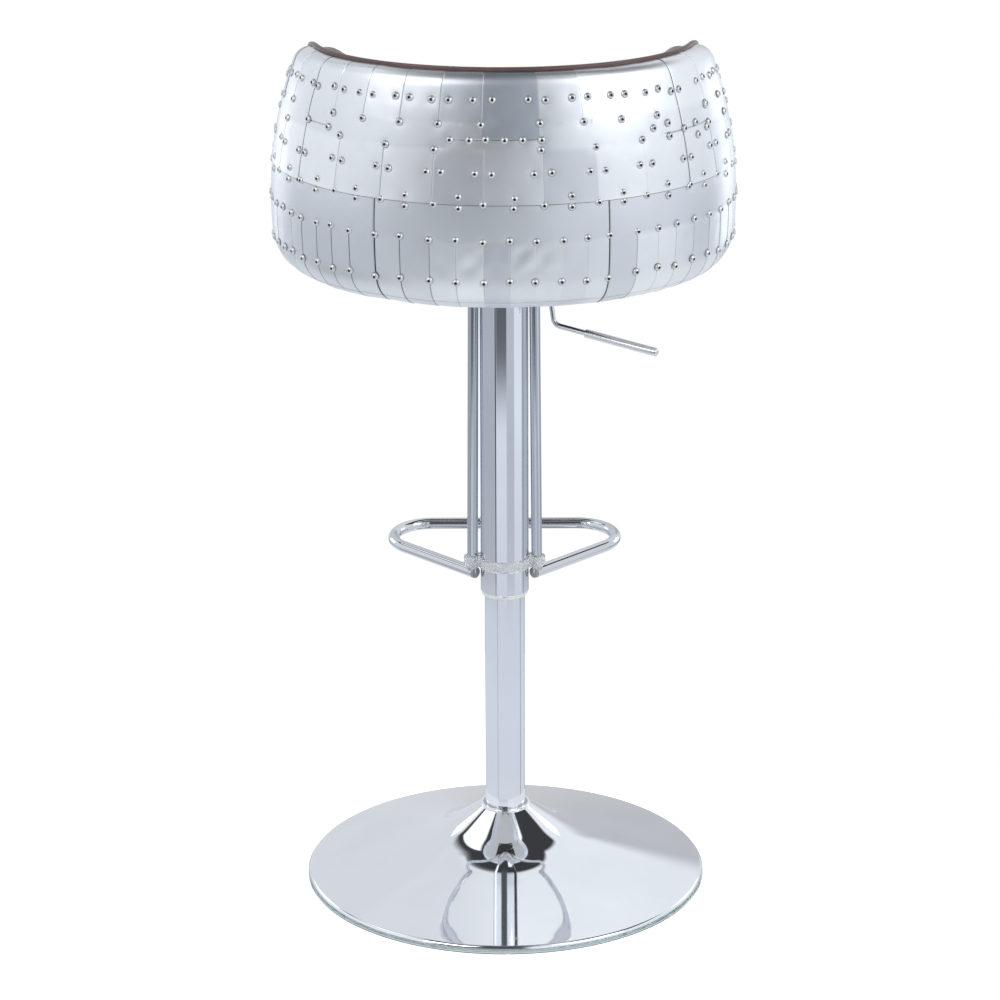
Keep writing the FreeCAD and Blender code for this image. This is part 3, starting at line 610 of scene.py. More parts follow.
def makeFootrest(p):
    # The loop lies flat: a leg out from each stem's foot, a rounded corner and a straight bar in front;
    # each stem is a straight tube from the loop's level up into the seat, a little closer in at its top
    low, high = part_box("footrest_loop")
    radius = (high.z - low.z) / 2
    level = (low.z + high.z) / 2
    reach = high.y - radius
    leg = np.array((p["vertexX"] - p["stemFootX"], reach))
    leg /= np.linalg.norm(leg)
    endX, endY = np.array((p["stemFootX"], 0.0)) - leg * p["legOverhang"]
    flatPath = roundedPath([
        (-endX, endY),
        (-p["vertexX"], reach, p["cornerRadius"]),
        (p["vertexX"], reach, p["cornerRadius"]),
        (endX, endY),
    ], p["arcStep"])
    path = np.column_stack((flatPath, np.full(len(flatPath), level)))
    barWork = ("bar_chrome", "chrome", "seat")
    tubePiece("footrest_loop", path, radius, p["sides"], (0, 0, 1), *barWork)
    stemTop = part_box("footrest_stem_right")[1].z
    for side, node in ((-1, "footrest_stem_left"), (1, "footrest_stem_right")):
        foot = np.array((side * p["stemFootX"], 0.0, level))
        top = np.array((side * p["stemTopX"], 0.0, stemTop))
        stem = foot + (top - foot) * np.linspace(0, 1, p["stemRows"])[:, None]
        tubePiece(node, stem, p["stemRadius"], p["sides"], (0, 1, 0), *barWork)


lever = {
    "azimuth": -25.0,
    "tipReach": -0.004,
    "exitReach": 0.053,
    "bendReach": 0.061,
    "endReach": 0.180,
    "level": 0.7185,
    "bendLevel": 0.6660,
    "endLevel": 0.6515,
    "bendRadius": 0.009,
    "radius": 0.003,
    "gripRadius": 0.0047,
    "gripLength": 0.086,
    "gripCap": 0.004,
    "gripRound": 0.0026,
    "gripRoundRows": 7,
    "gripRings": (0.02, 0.05),
    "sides": 28,
}


def makeLever(p):
    # A rod in the upright plane of its azimuth: level out of the hub, steeply down, then gently to its end
    turn = math.radians(p["azimuth"])
    outward = np.array((math.cos(turn), math.sin(turn), 0.0))
    across = (math.sin(turn), -math.cos(turn), 0.0)

    def place(flatPath):
        return flatPath[:, :1] * outward + flatPath[:, 1:] * np.array((0.0, 0.0, 1.0))

    bend, end = (p["bendReach"], p["bendLevel"]), (p["endReach"], p["endLevel"])
    rod = roundedPath([
        (p["tipReach"], p["level"]),
        (p["exitReach"], p["level"], p["bendRadius"]),
        (*bend, p["bendRadius"]),
        end,
    ])
    tubePiece("lever_rod", place(rod), p["radius"], p["sides"], across, "bar_chrome", "chrome", "lever")
    inward = np.subtract(bend, end)
    inward /= np.linalg.norm(inward)
    # The grip's radius along its length: a rounded cap at the far end, a square shoulder at the near one
    rounding = np.linspace(0, np.pi / 2, p["gripRoundRows"])
    rings = (*p["gripRings"], p["gripLength"])
    along = np.append(p["gripRound"] * (1 - np.cos(rounding)), rings)
    radii = np.append(
        p["gripRadius"] - p["gripRound"] * (1 - np.sin(rounding)),
        np.full(len(rings), p["gripRadius"]),
    )
    grip = end - inward * p["gripCap"] + along[:, None] * inward
    tubePiece("lever_grip", place(grip), radii, p["sides"], across, "grip_chrome", "grip_chrome", "lever")


def makeCollar(p):
    # The clamp keeps its machined shape, with its edges broken
    mesh = frame["nodes"]["footrest_collar"].data.copy()
    mesh.name = "footrestCollar"
    weld(mesh)
    piece = addObject("footrestCollar", mesh)
    bevel = piece.modifiers.new("brokenEdges", "BEVEL")
    bevel.width = p["collarBevel"]
    bevel.segments = 2
    bevel.limit_method = "ANGLE"
    smoothShade(mesh)
    settle(piece, finishes["clear_collar"], "seat", "clear_collar", ["footrest_collar"])


makeSeatPost(seatPost)
makeFootrest(footrest)
makeCollar(footrest)
makeLever(lever)
print("seat post, footrest and lever done")


# Tub: worked out round, then squeezed front to back into its oval

skinNames = [name for name in frame["nodes"] if name.startswith("skin_")]
skinLow = np.min([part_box(name)[0] for name in skinNames], axis=0)
skinHigh = np.max([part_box(name)[1] for name in skinNames], axis=0)

tub = {
    "halfWidth": (skinHigh[0] - skinLow[0]) / 2,
    "halfDepth": (skinHigh[1] - skinLow[1]) / 2,
    "centreY": (skinHigh[1] + skinLow[1]) / 2,
    "bottom": skinLow[2],
    "bellyHeight": 0.0765,
    "sideRadius": 0.470,
    "cornerRadius": 0.042,
    "rimHeight": 0.261,
    "rimSlope": 3.5,
    "rimRound": 0.012,
    "rimArcStep": 2.0,
    "armBreak": 0.030,
    "armBreakRadius": 0.200,
    "armSlope": 50.0,
    "armFootRadius": 0.065,
    "apronHeight": 0.094,
    "beltHeight": 0.122,
    "hemInset": 0.0585,
    "far": 0.5,
}
squeeze = tub["halfDepth"] / tub["halfWidth"]
belly = tub["bottom"] + tub["bellyHeight"]
belt = tub["bottom"] + tub["beltHeight"]
cornerLevel = tub["bottom"] + tub["cornerRadius"]
sideCentre = tub["halfWidth"] - tub["sideRadius"]
arcSpan = tub["sideRadius"] - tub["cornerRadius"]
cornerX = sideCentre + math.sqrt(arcSpan**2 - (cornerLevel - belly) ** 2)
arcLean = (cornerLevel - belly) / arcSpan


def wallRadius(level, inset=0.0):
    # The barrel's radius at a level: a long bellied arc above, a short corner arc below,
    # both drawn in by the inset
    meeting = belly + arcLean * (tub["sideRadius"] - inset)
    side = np.sqrt(np.maximum((tub["sideRadius"] - inset) ** 2 - (level - belly) ** 2, 0))
    corner = np.sqrt(np.maximum((tub["cornerRadius"] - inset) ** 2 - (level - cornerLevel) ** 2, 0))
    return np.where(level > meeting, sideCentre + side, cornerX + corner)


def squeezed(radius, theta, level):
    # A place in the round tub to its place in the oval: x is the radius by the sine of the angle, counted
    # from the back towards +X, and y is the radius by its cosine, squeezed
    x = radius * np.sin(theta)
    y = tub["centreY"] - squeeze * radius * np.cos(theta)
    return np.stack(np.broadcast_arrays(x, y, level), -1)


def rimPath():
    # The rim seen from the side: a gentle slope, a bend, a fall along the arms and a level apron
    def roundY(y):
        return (y - tub["centreY"]) / squeeze

    slope = math.tan(math.radians(tub["rimSlope"]))
    backY = tub["centreY"] - tub["halfDepth"]
    rim = tub["bottom"] + tub["rimHeight"]
    apron = tub["bottom"] + tub["apronHeight"]
    breakLevel = rim - (tub["armBreak"] - backY) * slope
    footY = tub["armBreak"] + (breakLevel - apron) / math.tan(math.radians(tub["armSlope"]))
    return roundedPath([
        (roundY(-tub["far"]), rim + (tub["far"] + backY) * slope),
        (roundY(tub["armBreak"]), breakLevel, tub["armBreakRadius"]),
        (roundY(footY), apron, tub["armFootRadius"]),
        (roundY(tub["far"]), apron),
    ], tub["rimArcStep"])


rimCurve = rimPath()


def rimLevel(radius, theta):
    # The rim's level above a place in the round tub: its side view read at that place's depth
    return np.interp(-radius * np.cos(theta), rimCurve[:, 0], rimCurve[:, 1])


def rimAtWall(theta, inset=0.0):
    # The wall leans, so the level where the rim meets it is found in a few rounds: radius, level, radius
    rounds = 6
    level = np.full_like(theta, tub["bottom"] + tub["rimHeight"])
    for _ in range(rounds):
        level = rimLevel(wallRadius(level, inset), theta)
    return level


def rollEnds(theta):
    # Where the rolled edge starts on the wall and where it ends on top, at each angle
    rim = rimAtWall(theta)
    radius = wallRadius(rim)
    nudge = 0.002
    rise = (rimAtWall(theta + nudge) - rimAtWall(theta - nudge)) / (2 * nudge * radius)
    start = rim - tub["rimRound"] * np.sqrt(1 + rise**2)
    top = rimLevel(radius - tub["rimRound"], theta)
    return start, top


# Skin: six riveted sheets with darts, lapped a little over each other

skin = {
    "upperSeams": (-61.0, 52.5),
    "lowerSeams": (-33.0, 26.3),
    "seamGap": 0.0006,
    "thickness": 0.0010,
    "sharpAngle": 38,
    # How fine the grid is: even steps, finer ones beside darts and edges, and the room that those need
    "columnStep": 0.75,
    "columnRoom": 0.12,
    "dartRoom": 1.0,
    "rowStep": 0.0034,
    "rowRoom": 0.0022,
    "grooveOffsets": (0.00022, 0.00055, 0.0012, 0.0026),
    "edgeOffsets": (0.0004, 0.0010, 0.0022),
    "beltOffsets": (0.0, 0.0003, 0.0008, 0.0018),
    "crossOffsets": (0.0002, 0.0005, 0.0012),
    "creaseOffsets": (0.0, 0.0003, 0.0007, 0.0016),
    "creaseRoom": 0.05,
    "beltShares": (0.978, 0.99, 0.996),
    "flatRows": 5,
    "cornerRows": 14,
    "wallRows": 32,
    "aboveKneeRows": 14,
    "rollRows": 8,
    # Depth of the lines and darkness of the shade painted along them, the darkest being 1
    "grooveDepth": 0.0010,
    "grooveWidth": 0.00036,
    "dartLine": 0.03,
    "upperDartLine": 0.24,
    "lowerDartLine": 1.0,
    "dartFade": (-42.0, 12.0),
    "crossDepth": 0.8,
    "crossLine": 0.30,
    "crossFade": 0.6,
    "beltLine": 0.15,
    "beltLineWidth": 0.0006,
    "seamDepth": 0.5,
    "seamLine": 0.75,
    "seamWidth": 0.0008,
    "hemDepth": 0.5,
    "hemLine": 0.40,
    "hemCrease": 0.0105,
    "seamRoom": 4.0,
    # How far the sheets lean, lap, tuck in over the rim and sink round a rivet
    "lap": 0.0009,
    "beltLap": 0.0008,
    "beltLapReach": 0.012,
    "tuck": (0.0012, 0.0030),
    "tuckIn": 0.0003,
    "tuckLean": 0.1,
    "rollStretch": 1.3,
    "leastHeight": 0.0015,
    "dimpleDepth": 0.00035,
    "dimpleRadius": 0.0060,
    "dimpleAngle": 4.0,
    # Darts in degrees from the middle of the back, as measured, with their ends and the strips' tones
    "topDarts": (-50.0, -39.3, -28.0, -17.0, -5.6, 9.2, 21.0, 32.0, 43.5),
    "topTones": (0.85, 0.95, 0.72, 0.40, 0.16, 0.74, 1.0, 0.90),
    "topPitch": 11.2,
    "topDartLength": 0.050,
    "topDartFade": (-0.004, 0.002),
    "midDarts": (-45.8, -31.5, -17.6, -4.9, 9.7, 23.7, 37.5),
    "midPitch": 13.9,
    "midDartTop": 0.909,
    "midDartFade": (-0.003, 0.002),
    "lowDarts": (-75.7, -70.2, -64.6, -59.2, -52.4, -46.8, -40.7, -33.0, -26.0, -18.3, -11.7, -4.9,
                 1.5, 7.7, 14.3, 20.6, 26.3, 34.1, 40.7, 46.7, 53.7, 60.8, 67.4, 74.1),
    "lowPitch": 6.4,
    "lowDartTop": 0.811,
    "lowDartFade": (-0.003, 0.001),
    "crossSeams": ((0.920, -13.6, 9.7), (0.911, 46.0, 64.0), (0.917, -61.0, -51.0)),
    "hazePanel": (-5.6, 9.2, 0.920),
    "hazeFade": 0.001,
    "hazeTone": 0.16,
    # Tone where no dart reaches; the lower sheets' band under the belt is darker as painted shade of the
    # upper sheets' lap
    "plainTone": {"upper": 0.82, "lower": 0.70},
    "toneRange": (0.55, 1.0),
    "endStrip": 10,
    "kneeHeight": 0.085,
    "kneeRoom": 0.115,
    "seed": 11,
}


def allRound(measured, pitch, limit=176.0):
    # The measured angles, carried on at their mean pitch to the front on both sides
    left = np.arange(measured[0] - pitch, -limit, -pitch)[::-1]
    right = np.arange(measured[-1] + pitch, limit, pitch)
    return np.concatenate((left, measured, right))


def clearOf(angles, seams):
    # Darts too close to a seam are left out
    return angles[np.min(np.abs(angles[:, None] - np.array(seams)), axis=1) > skin["seamRoom"]]


topDarts = clearOf(allRound(skin["topDarts"], skin["topPitch"]), skin["upperSeams"])
midDarts = clearOf(allRound(skin["midDarts"], skin["midPitch"]), skin["upperSeams"])
lowDarts = allRound(skin["lowDarts"], skin["lowPitch"])


rivetRows = {
    "spread": 0.35,
    "closeSpread": 0.2,
    "drift": 0.0012,
    "underTopDarts": 0.002,
    "besideTopDarts": (2.3, 0.027),
    "besideSeams": ((1.7, (0.954, 0.952)), (1.5, (0.881, 0.880))),
    "besideMidDarts": (1.9, 0.884),
    "bareDart": -4.9,
    "aboveBelt": 0.0075,
    "belowBelt": 0.0045,
    "hemLevel": 0.765,
    "hemDrift": 0.0025,
    "crossRow": (-13.6, 9.7, 6),
    "crossLevel": 0.9195,
    "crossSpread": 0.3,
    # Rivets on patches of their own, each by angle and level
    "strays": (
        ((53.0, 0.911), (63.8, 0.904)),
        ((47.0, 0.921), (47.0, 0.907), (58.5, 0.915), (58.5, 0.901)),
        ((41.5, 0.920), (65.8, 0.928), (-51.1, 0.917), (-60.4, 0.917)),
    ),
    "rollRoom": 0.004,
}


def rivetPlaces(p, sheets):
    # Angle and level of every rivet: rows along the darts' ends, pairs beside them and pairs over the belt
    chance = np.random.default_rng(sheets["seed"])

    def loose(count, spread):
        return chance.uniform(-spread, spread, count)

    def row(angles, levels, spread=p["spread"], drift=p["drift"]):
        angles, levels = np.asarray(angles, float), np.asarray(levels)
        return np.column_stack((angles + loose(len(angles), spread), levels + loose(len(angles), drift)))

    def besides(angles, away, levels):
        return np.vstack([row(np.asarray(angles) + side * away, levels) for side in (-1, 1)])

    topRim = rimAtWall(np.radians(topDarts))
    topAway, topDrop = p["besideTopDarts"]
    belted = allRound(sheets["midDarts"], sheets["midPitch"])
    straddle = (belted[:-1] + belted[1:]) / 2
    rows = [
        row(topDarts, topRim - sheets["topDartLength"] - p["underTopDarts"]),
        besides(topDarts, topAway, topRim - topDrop),
        *[besides(sheets["upperSeams"], away, levels) for away, levels in p["besideSeams"]],
        row(midDarts[midDarts != p["bareDart"]], sheets["midDartTop"]),
        besides(midDarts, *p["besideMidDarts"]),
        row(belted, belt),
        row(straddle, belt + p["aboveBelt"]),
        row(straddle, belt - p["belowBelt"]),
        row(sheets["upperSeams"], belt),
        row(lowDarts, sheets["lowDartTop"], p["closeSpread"]),
        row(lowDarts, p["hemLevel"], p["closeSpread"], p["hemDrift"]),
        row(np.linspace(*p["crossRow"]), p["crossLevel"], p["crossSpread"]),
        *[row(*np.transpose(patch), p["closeSpread"]) for patch in p["strays"]],
    ]
    places = np.vstack(rows)
    rollStart = rollEnds(np.radians(places[:, 0]))[0]
    return places[places[:, 1] < rollStart - p["rollRoom"]]


rivets = rivetPlaces(rivetRows, skin)


def columnAngles(start, end, darts, p):
    # Even columns between two seams, with finer ones beside every dart and both edges
    gap = math.degrees(p["seamGap"] / 2 / tub["halfWidth"])
    even = np.linspace(start + gap, end - gap, int((end - start) / p["columnStep"]))
    inside = darts[(darts > start + p["dartRoom"]) & (darts < end - p["dartRoom"])]
    offsets = np.degrees(np.array(p["grooveOffsets"]) / tub["halfWidth"])
    beside = np.concatenate([inside] + [inside + side * away for away in offsets for side in (-1, 1)])
    clear = np.min(np.abs(even[:, None] - beside[None, :]), axis=1) > p["columnRoom"]
    clear[[0, -1]] = True
    hem = np.degrees(np.array(p["edgeOffsets"]) / tub["halfWidth"])
    edges = np.concatenate((start + gap + hem, end - gap - hem))
    return np.radians(np.unique(np.concatenate((even[clear], beside, edges))))


def bothWays(offsets):
    # The same offsets to either side
    return np.concatenate((-np.array(offsets), offsets))


def fineRows(high, seams, p):
    # Even levels from nothing up, with finer ones at the belt and at every cross seam
    even = np.arange(0.0, high, p["rowStep"])
    clear = np.min(np.abs(even[:, None] - np.array(seams)), axis=1) > p["rowRoom"]
    beside = [seam + bothWays(p["crossOffsets"]) for seam in seams]
    return np.unique(np.concatenate((even[clear], *beside, p["beltOffsets"], (high,))))


def upperGrid(theta, p):
    # Levels rise from the belt to the rolled edge, then turn over it and a little way down inside
    rollStart, top = rollEnds(theta)
    start = belt + p["seamGap"] / 2
    height = np.maximum(rollStart - start, 0)
    knee = p["kneeHeight"] * np.clip(height / p["kneeRoom"], 0, 1)
    seams = sorted({seam[0] - belt for seam in p["crossSeams"]})
    below = fineRows(p["kneeHeight"], seams, p) / p["kneeHeight"]
    aboveKnee = np.linspace(0, 1, p["aboveKneeRows"])[1:]
    wall = start + np.vstack((below[:, None] * knee, knee + aboveKnee[:, None] * (height - knee)))
    startTurn = np.arcsin(np.clip((start - rollStart) / np.maximum(top - rollStart, tiny), 0, 1))
    turn = startTurn + np.linspace(0, 1, p["rollRows"])[1:, None] * (np.pi / 2 - startTurn)
    rolled = rollStart + (top - rollStart) * np.sin(turn)
    rollRadius = wallRadius(rolled) - tub["rimRound"] * (1 - np.cos(turn))
    tuck = np.array(p["tuck"])[:, None]
    tucked = rollRadius[-1:] - p["tuckIn"] - tuck * p["tuckLean"]
    levels = np.vstack((wall, rolled, rolled[-1:] - tuck))
    return np.vstack((wallRadius(wall), rollRadius, tucked)), levels


def withCorner(flat, bend, inset, radius, level):
    # Rows of wall with the flat bottom and the corner arc put below them, at the same inset
    ones = np.ones(level.shape[1])
    corner = tub["cornerRadius"] - inset
    levels = ((tub["bottom"] + inset + 0 * flat) * ones, (cornerLevel + corner * np.sin(bend)) * ones, level)
    radii = (flat * ones, (cornerX + corner * np.cos(bend)) * ones, radius)
    return np.vstack(radii), np.vstack(levels)


def lowerGrid(theta, p):
    # From the hem along the flat bottom, round the corner and up the wall, to the belt
    # or over the low front edge
    rollStart, top = rollEnds(theta)
    flat = np.linspace(tub["halfWidth"] - tub["hemInset"], cornerX, p["flatRows"])[:-1, None]
    crease = math.asin(p["hemCrease"] / tub["cornerRadius"] - 1)
    creased = crease + bothWays(p["creaseOffsets"]) / tub["cornerRadius"]
    bend = np.linspace(-np.pi / 2, math.asin(arcLean), p["cornerRows"])[:-1]
    bend = np.union1d(bend[np.abs(bend - crease) > p["creaseRoom"]], creased)[:, None]
    shoulder = belly + arcLean * tub["sideRadius"]
    end = belt - p["seamGap"] / 2
    wallHeight = np.minimum(rollStart, end) - shoulder
    endTurn = np.arcsin(np.clip((end - rollStart) / (top - rollStart), 0, 1))
    rollLength = endTurn * tub["rimRound"] * p["rollStretch"]
    share = np.union1d(np.linspace(0, 1, p["wallRows"]), p["beltShares"])[:, None]
    along = share * (wallHeight + rollLength)
    turn = np.clip((along - wallHeight) / np.maximum(rollLength, tiny), 0, 1) * endTurn
    level = shoulder + np.minimum(along, wallHeight) + (top - rollStart) * np.sin(turn)
    radius = wallRadius(level) - tub["rimRound"] * (1 - np.cos(turn))
    return withCorner(flat, bend, 0.0, radius, level)


dentWork = {
    "slowCount": 26,
    "slowLengths": (0.045, 0.16),
    "slowHeadings": (0.0, np.pi),
    "slowDepth": 0.000055,
    "fullLength": 0.1,
    "shortCount": 14,
    "shortLengths": (0.016, 0.034),
    "shortHeadings": (0.2, np.pi - 0.2),
    "shortDepth": 0.00055,
    "shortShare": 7,
    "gatherRise": (0.765, 0.785),
    "gatherFall": (0.798, 0.809),
    "gatherPlace": 0.012,
    "gatherWidth": 0.045,
    "gatherLeast": 0.25,
}


def dents(arc, level, p, seed):
    # A seeded sum of slow waves, and short ones where the sheet is gathered under the lower rivet row
    chance = np.random.default_rng(seed)

    def waves(count, lengths, headings):
        for _ in range(count):
            length = chance.uniform(*lengths)
            heading = chance.uniform(*headings)
            phase = chance.uniform(0, 2 * np.pi)
            along = np.cos(heading) * arc + np.sin(heading) * level
            yield length, np.sin(2 * np.pi * along / length + phase)

    slow, short = np.zeros_like(arc), np.zeros_like(arc)
    for length, wave in waves(p["slowCount"], p["slowLengths"], p["slowHeadings"]):
        slow += wave * length / p["fullLength"]
    for _, wave in waves(p["shortCount"], p["shortLengths"], p["shortHeadings"]):
        short += wave
    gathered = smoothStep(*p["gatherRise"], level) * (1 - smoothStep(*p["gatherFall"], level))
    gathered *= p["gatherLeast"] + ridge(arc - p["gatherPlace"], p["gatherWidth"])
    return slow * p["slowDepth"] + short * gathered * p["shortDepth"] / p["shortShare"]


def stripWork(angle, darts, zone, tones, p, seedShift):
    # Each strip between two darts leans a little, so that one edge laps over the next,
    # and has a tone of its own
    chance = np.random.default_rng(p["seed"] + seedShift)
    lean = chance.uniform(-1.0, 1.0, len(darts) + 1) * p["lap"]
    tone = chance.uniform(*p["toneRange"], len(darts) + 1)
    first = np.searchsorted(darts, p["topDarts"][0]) + 1
    tone[first:first + len(tones)] = tones
    strip = np.searchsorted(darts, angle)
    left = np.concatenate(((darts[0] - p["endStrip"],), darts))[strip]
    right = np.concatenate((darts, (darts[-1] + p["endStrip"],)))[strip]
    share = (angle - left) / (right - left)
    return lean[strip] * (share - 0.5) * zone, tone[strip]


def groove(angle, radius, darts, zone, p):
    # A narrow valley along every dart, 1 at its bottom, as far as the zone allows
    nearest = np.min(np.abs(angle[..., None] - darts), axis=-1)
    return ridge(np.radians(nearest) * radius, p["grooveWidth"]) * zone


def above(level, end, fade):
    # 1 above the end of a dart or patch and 0 below it, with a short fade between
    return smoothStep(end + fade[0], end + fade[1], level)


def dartRows(tier, theta, level, p):
    # Each row of darts: their angles, where they reach, the tones known of their strips and a seed's shift
    if tier == "lower":
        return [(lowDarts, 1 - above(level, p["lowDartTop"], p["lowDartFade"]), (), 4)]
    topZone = above(level - rimAtWall(theta), -p["topDartLength"], p["topDartFade"])
    midZone = 1 - above(level, p["midDartTop"], p["midDartFade"])
    return [(topDarts, topZone, p["topTones"], 2), (midDarts, midZone, (), 3)]


def dartShade(angle, most, p):
    # Dart lines are darkest on the left and fade to the right, as the laps show their shade on that side:
    # the valleys are cut deeper there and the painted shade along them is darker
    return p["dartLine"] + (most - p["dartLine"]) * (1 - smoothStep(*p["dartFade"], angle))


def dimples(angle, radius, level, p):
    # The sheet is drawn in round each rivet
    sunk = np.zeros_like(angle)
    for rivetAngle, rivetLevel in rivets:
        near = np.abs(angle - rivetAngle) < p["dimpleAngle"]
        away = np.radians(angle[near] - rivetAngle) * radius[near]
        sunk[near] -= p["dimpleDepth"] * ridge(np.hypot(away, level[near] - rivetLevel), p["dimpleRadius"])
    return sunk


def gridNormals(points):
    # Square to both of a grid's directions at every point
    normal = np.cross(np.gradient(points, axis=1), np.gradient(points, axis=0))
    return normal / np.maximum(np.linalg.norm(normal, axis=-1, keepdims=True), tiny**2)


def sheetRelief(tier, start, end, theta, radius, level, p):
    # How far each point of a sheet stands out, the tone of its strip and the painted shade along its lines:
    # dents, leans and laps are added up, and the valleys of darts, seams and hem are taken away
    angle = np.degrees(np.broadcast_to(theta, level.shape))
    arc = np.radians(angle) * tub["halfWidth"] * (1 + squeeze) / 2
    offset = dents(arc, level, dentWork, p["seed"] + 1) + dimples(angle, radius, level, p)
    tone = np.full(level.shape, p["plainTone"][tier])
    valley = np.zeros(level.shape)
    # Painted shade along the lines of darts, cross seams, belt, hem and sheet edges
    line = np.zeros(level.shape)
    for darts, zone, tones, seedShift in dartRows(tier, theta, level, p):
        lean, shade = stripWork(angle, darts, zone, tones, p, seedShift)
        slit = groove(angle, radius, darts, zone, p)
        dark = dartShade(angle, p[tier + "DartLine"], p)
        offset += lean
        valley += slit * (p["dartLine"] + dark)
        line += slit * dark
        tone += zone * (shade - tone)
    if tier == "upper":
        fade = p["crossFade"]
        for seamLevel, seamStart, seamEnd in p["crossSeams"]:
            along = smoothStep(seamStart - fade, seamStart, angle)
            along *= 1 - smoothStep(seamEnd, seamEnd + fade, angle)
            slit = along * ridge(level - seamLevel, p["grooveWidth"])
            valley += p["crossDepth"] * slit
            line += p["crossLine"] * slit
        left, right, floor = p["hazePanel"]
        haze = (angle > left) * (angle < right) * above(level, floor, (-p["hazeFade"], p["hazeFade"]))
        tone += haze * (p["hazeTone"] - tone)
        offset += p["beltLap"] * np.exp(-(level - belt) / p["beltLapReach"])
    else:
        hem = ridge(level - tub["bottom"] - p["hemCrease"], p["grooveWidth"])
        valley += p["hemDepth"] * hem
        line += p["hemLine"] * hem
    line += p["beltLine"] * ridge(level - belt, p["beltLineWidth"])
    for away in (np.radians(angle - start), np.radians(end - angle)):
        edge = ridge(away * radius, p["seamWidth"])
        valley += p["seamDepth"] * edge
        line += p["seamLine"] * edge
    valley, line = np.minimum(valley, 1), np.minimum(line, 1)
    return offset - p["grooveDepth"] * valley, np.clip(tone, 0, 1), line


def makeSheet(name, tier, start, end, stands, p):
    # The tub's wall as a grid, moved along its normals by the relief and given the metal's thickness
    darts = lowDarts if tier == "lower" else np.sort(np.concatenate((topDarts, midDarts)))
    theta = columnAngles(start, end, darts, p)
    if tier == "upper":
        theta = theta[rollEnds(theta)[1] > belt + p["leastHeight"]]
    radius, level = (upperGrid if tier == "upper" else lowerGrid)(theta, p)
    points = squeezed(radius, theta, level)
    relief, tone, line = sheetRelief(tier, start, end, theta, radius, level, p)
    points = points + gridNormals(points) * relief[..., None]
    mesh = newMesh(name, points, gridFaces(*level.shape), {"tone": tone, "line": line})
    piece = addObject(name, mesh)
    wall = piece.modifiers.new("sheetMetal", "SOLIDIFY")
    wall.thickness = p["thickness"]
    wall.offset = -1
    piece.data = evaluatedMesh(piece)
    piece.data.name = name
    piece.modifiers.clear()
    bpy.data.meshes.remove(mesh)
    smoothShade(piece.data, p["sharpAngle"])
    settle(piece, finishes["skin_aluminium"], "seat", "skin_aluminium", stands)
    print("sheet", name, len(piece.data.polygons), "faces")


rivetHead = {
    "segments": 10,
    "ringRadius": (0.0, 0.0016, 0.00175, 0.0026, 0.0035, 0.0040, 0.0045),
    "ringHeight": (0.0018, 0.0018, 0.0022, 0.0019, 0.0011, 0.0002, -0.0003),
    # Painted shade at each ring: the shallow middle black as a hole, the foot of the head darker as its
    # shadow on the sheet
    "ringShade": (1.0, 1.0, 0.0, 0.0, 0.0, 0.25, 0.85),
    "sharpAngle": 50,
}


def makeRivets(p):
    # One dome of rings for each place, set square to the skin
    theta, level = np.radians(rivets[:, 0]), rivets[:, 1]
    nudge = 1e-4
    spot = squeezed(wallRadius(level), theta, level)
    across = squeezed(wallRadius(level), theta + nudge, level) - spot
    upward = squeezed(wallRadius(level + nudge), theta, level + nudge) - spot
    outward = unit(np.cross(across, upward))
    across = unit(across)
    axes = np.stack((across, np.cross(outward, across), outward), 1)
    local = revolve(np.column_stack((p["ringRadius"], p["ringHeight"])), p["segments"]).reshape(-1, 3)
    points = spot[:, None, :] + np.einsum("vk,rkc->rvc", local, axes)
    single = gridFaces(len(p["ringRadius"]), p["segments"], closeColumns=True)
    shift = np.arange(len(spot))[:, None, None] * len(local)
    faces = (single[None] + shift).reshape(-1, 4)
    marks = {"rivetShade": np.tile(np.repeat(p["ringShade"], p["segments"]), len(spot))}
    makePiece("skinRivets", points, faces, finishes["rivet_metal"], "seat", "skin_aluminium",
              sharpAngle=p["sharpAngle"], marks=marks)
    print("rivets:", len(spot))


def makeSkin(p):
    # Three sheets in each tier: from the front to a seam, across the back, and on to the front again
    for tier, (left, right) in (("upper", p["upperSeams"]), ("lower", p["lowerSeams"])):
        sides = {"Left": (-180.0, left), "Back": (left, right), "Right": (right, 180.0)}
        for side, (start, end) in sides.items():
            makeSheet(tier + "Sheet" + side, tier, start, end, [f"skin_{tier}_{side.lower()}"], p)


core = {
    "outerInset": 0.0034,
    "innerInset": 0.0110,
    "boardInset": 0.0632,
    "belowRim": 0.0075,
    "cornerRows": 8,
    "wallRows": 14,
    "columns": 180,
    "sharpAngle": 50,
}


def roundTub(columns):
    # Angles once round the tub, from the middle of the front
    return np.linspace(-np.pi, np.pi, columns, endpoint=False)


def makeCore(p):
    # The wooden tub behind the sheets, drawn in a little: up its outside from the board and down its inside
    theta = roundTub(p["columns"])
    flat = np.array((tub["halfWidth"] - p["boardInset"], cornerX))[:, None]
    bend = np.linspace(-np.pi / 2, math.asin(arcLean), p["cornerRows"])[1:, None]
    share = np.linspace(0, 1, p["wallRows"])[1:, None]

    def wallLoop(inset):
        shoulder = belly + arcLean * (tub["sideRadius"] - inset)
        wall = shoulder + share * (rimAtWall(theta, inset) - p["belowRim"] - shoulder)
        radius, level = withCorner(flat, bend, inset, wallRadius(wall, inset), wall)
        return squeezed(radius, theta, level)

    points = np.concatenate((wallLoop(p["outerInset"]), wallLoop(p["innerInset"])[::-1]))
    faces = gridFaces(*points.shape[:2], closeRows=True, closeColumns=True)
    # The core is near black: painted shade seen through the gaps and grooves of the sheets
    makePiece("tubCore", points, faces, finishes["stained_ply"], "seat", "plywood", ["shell_core"],
              sharpAngle=p["sharpAngle"])


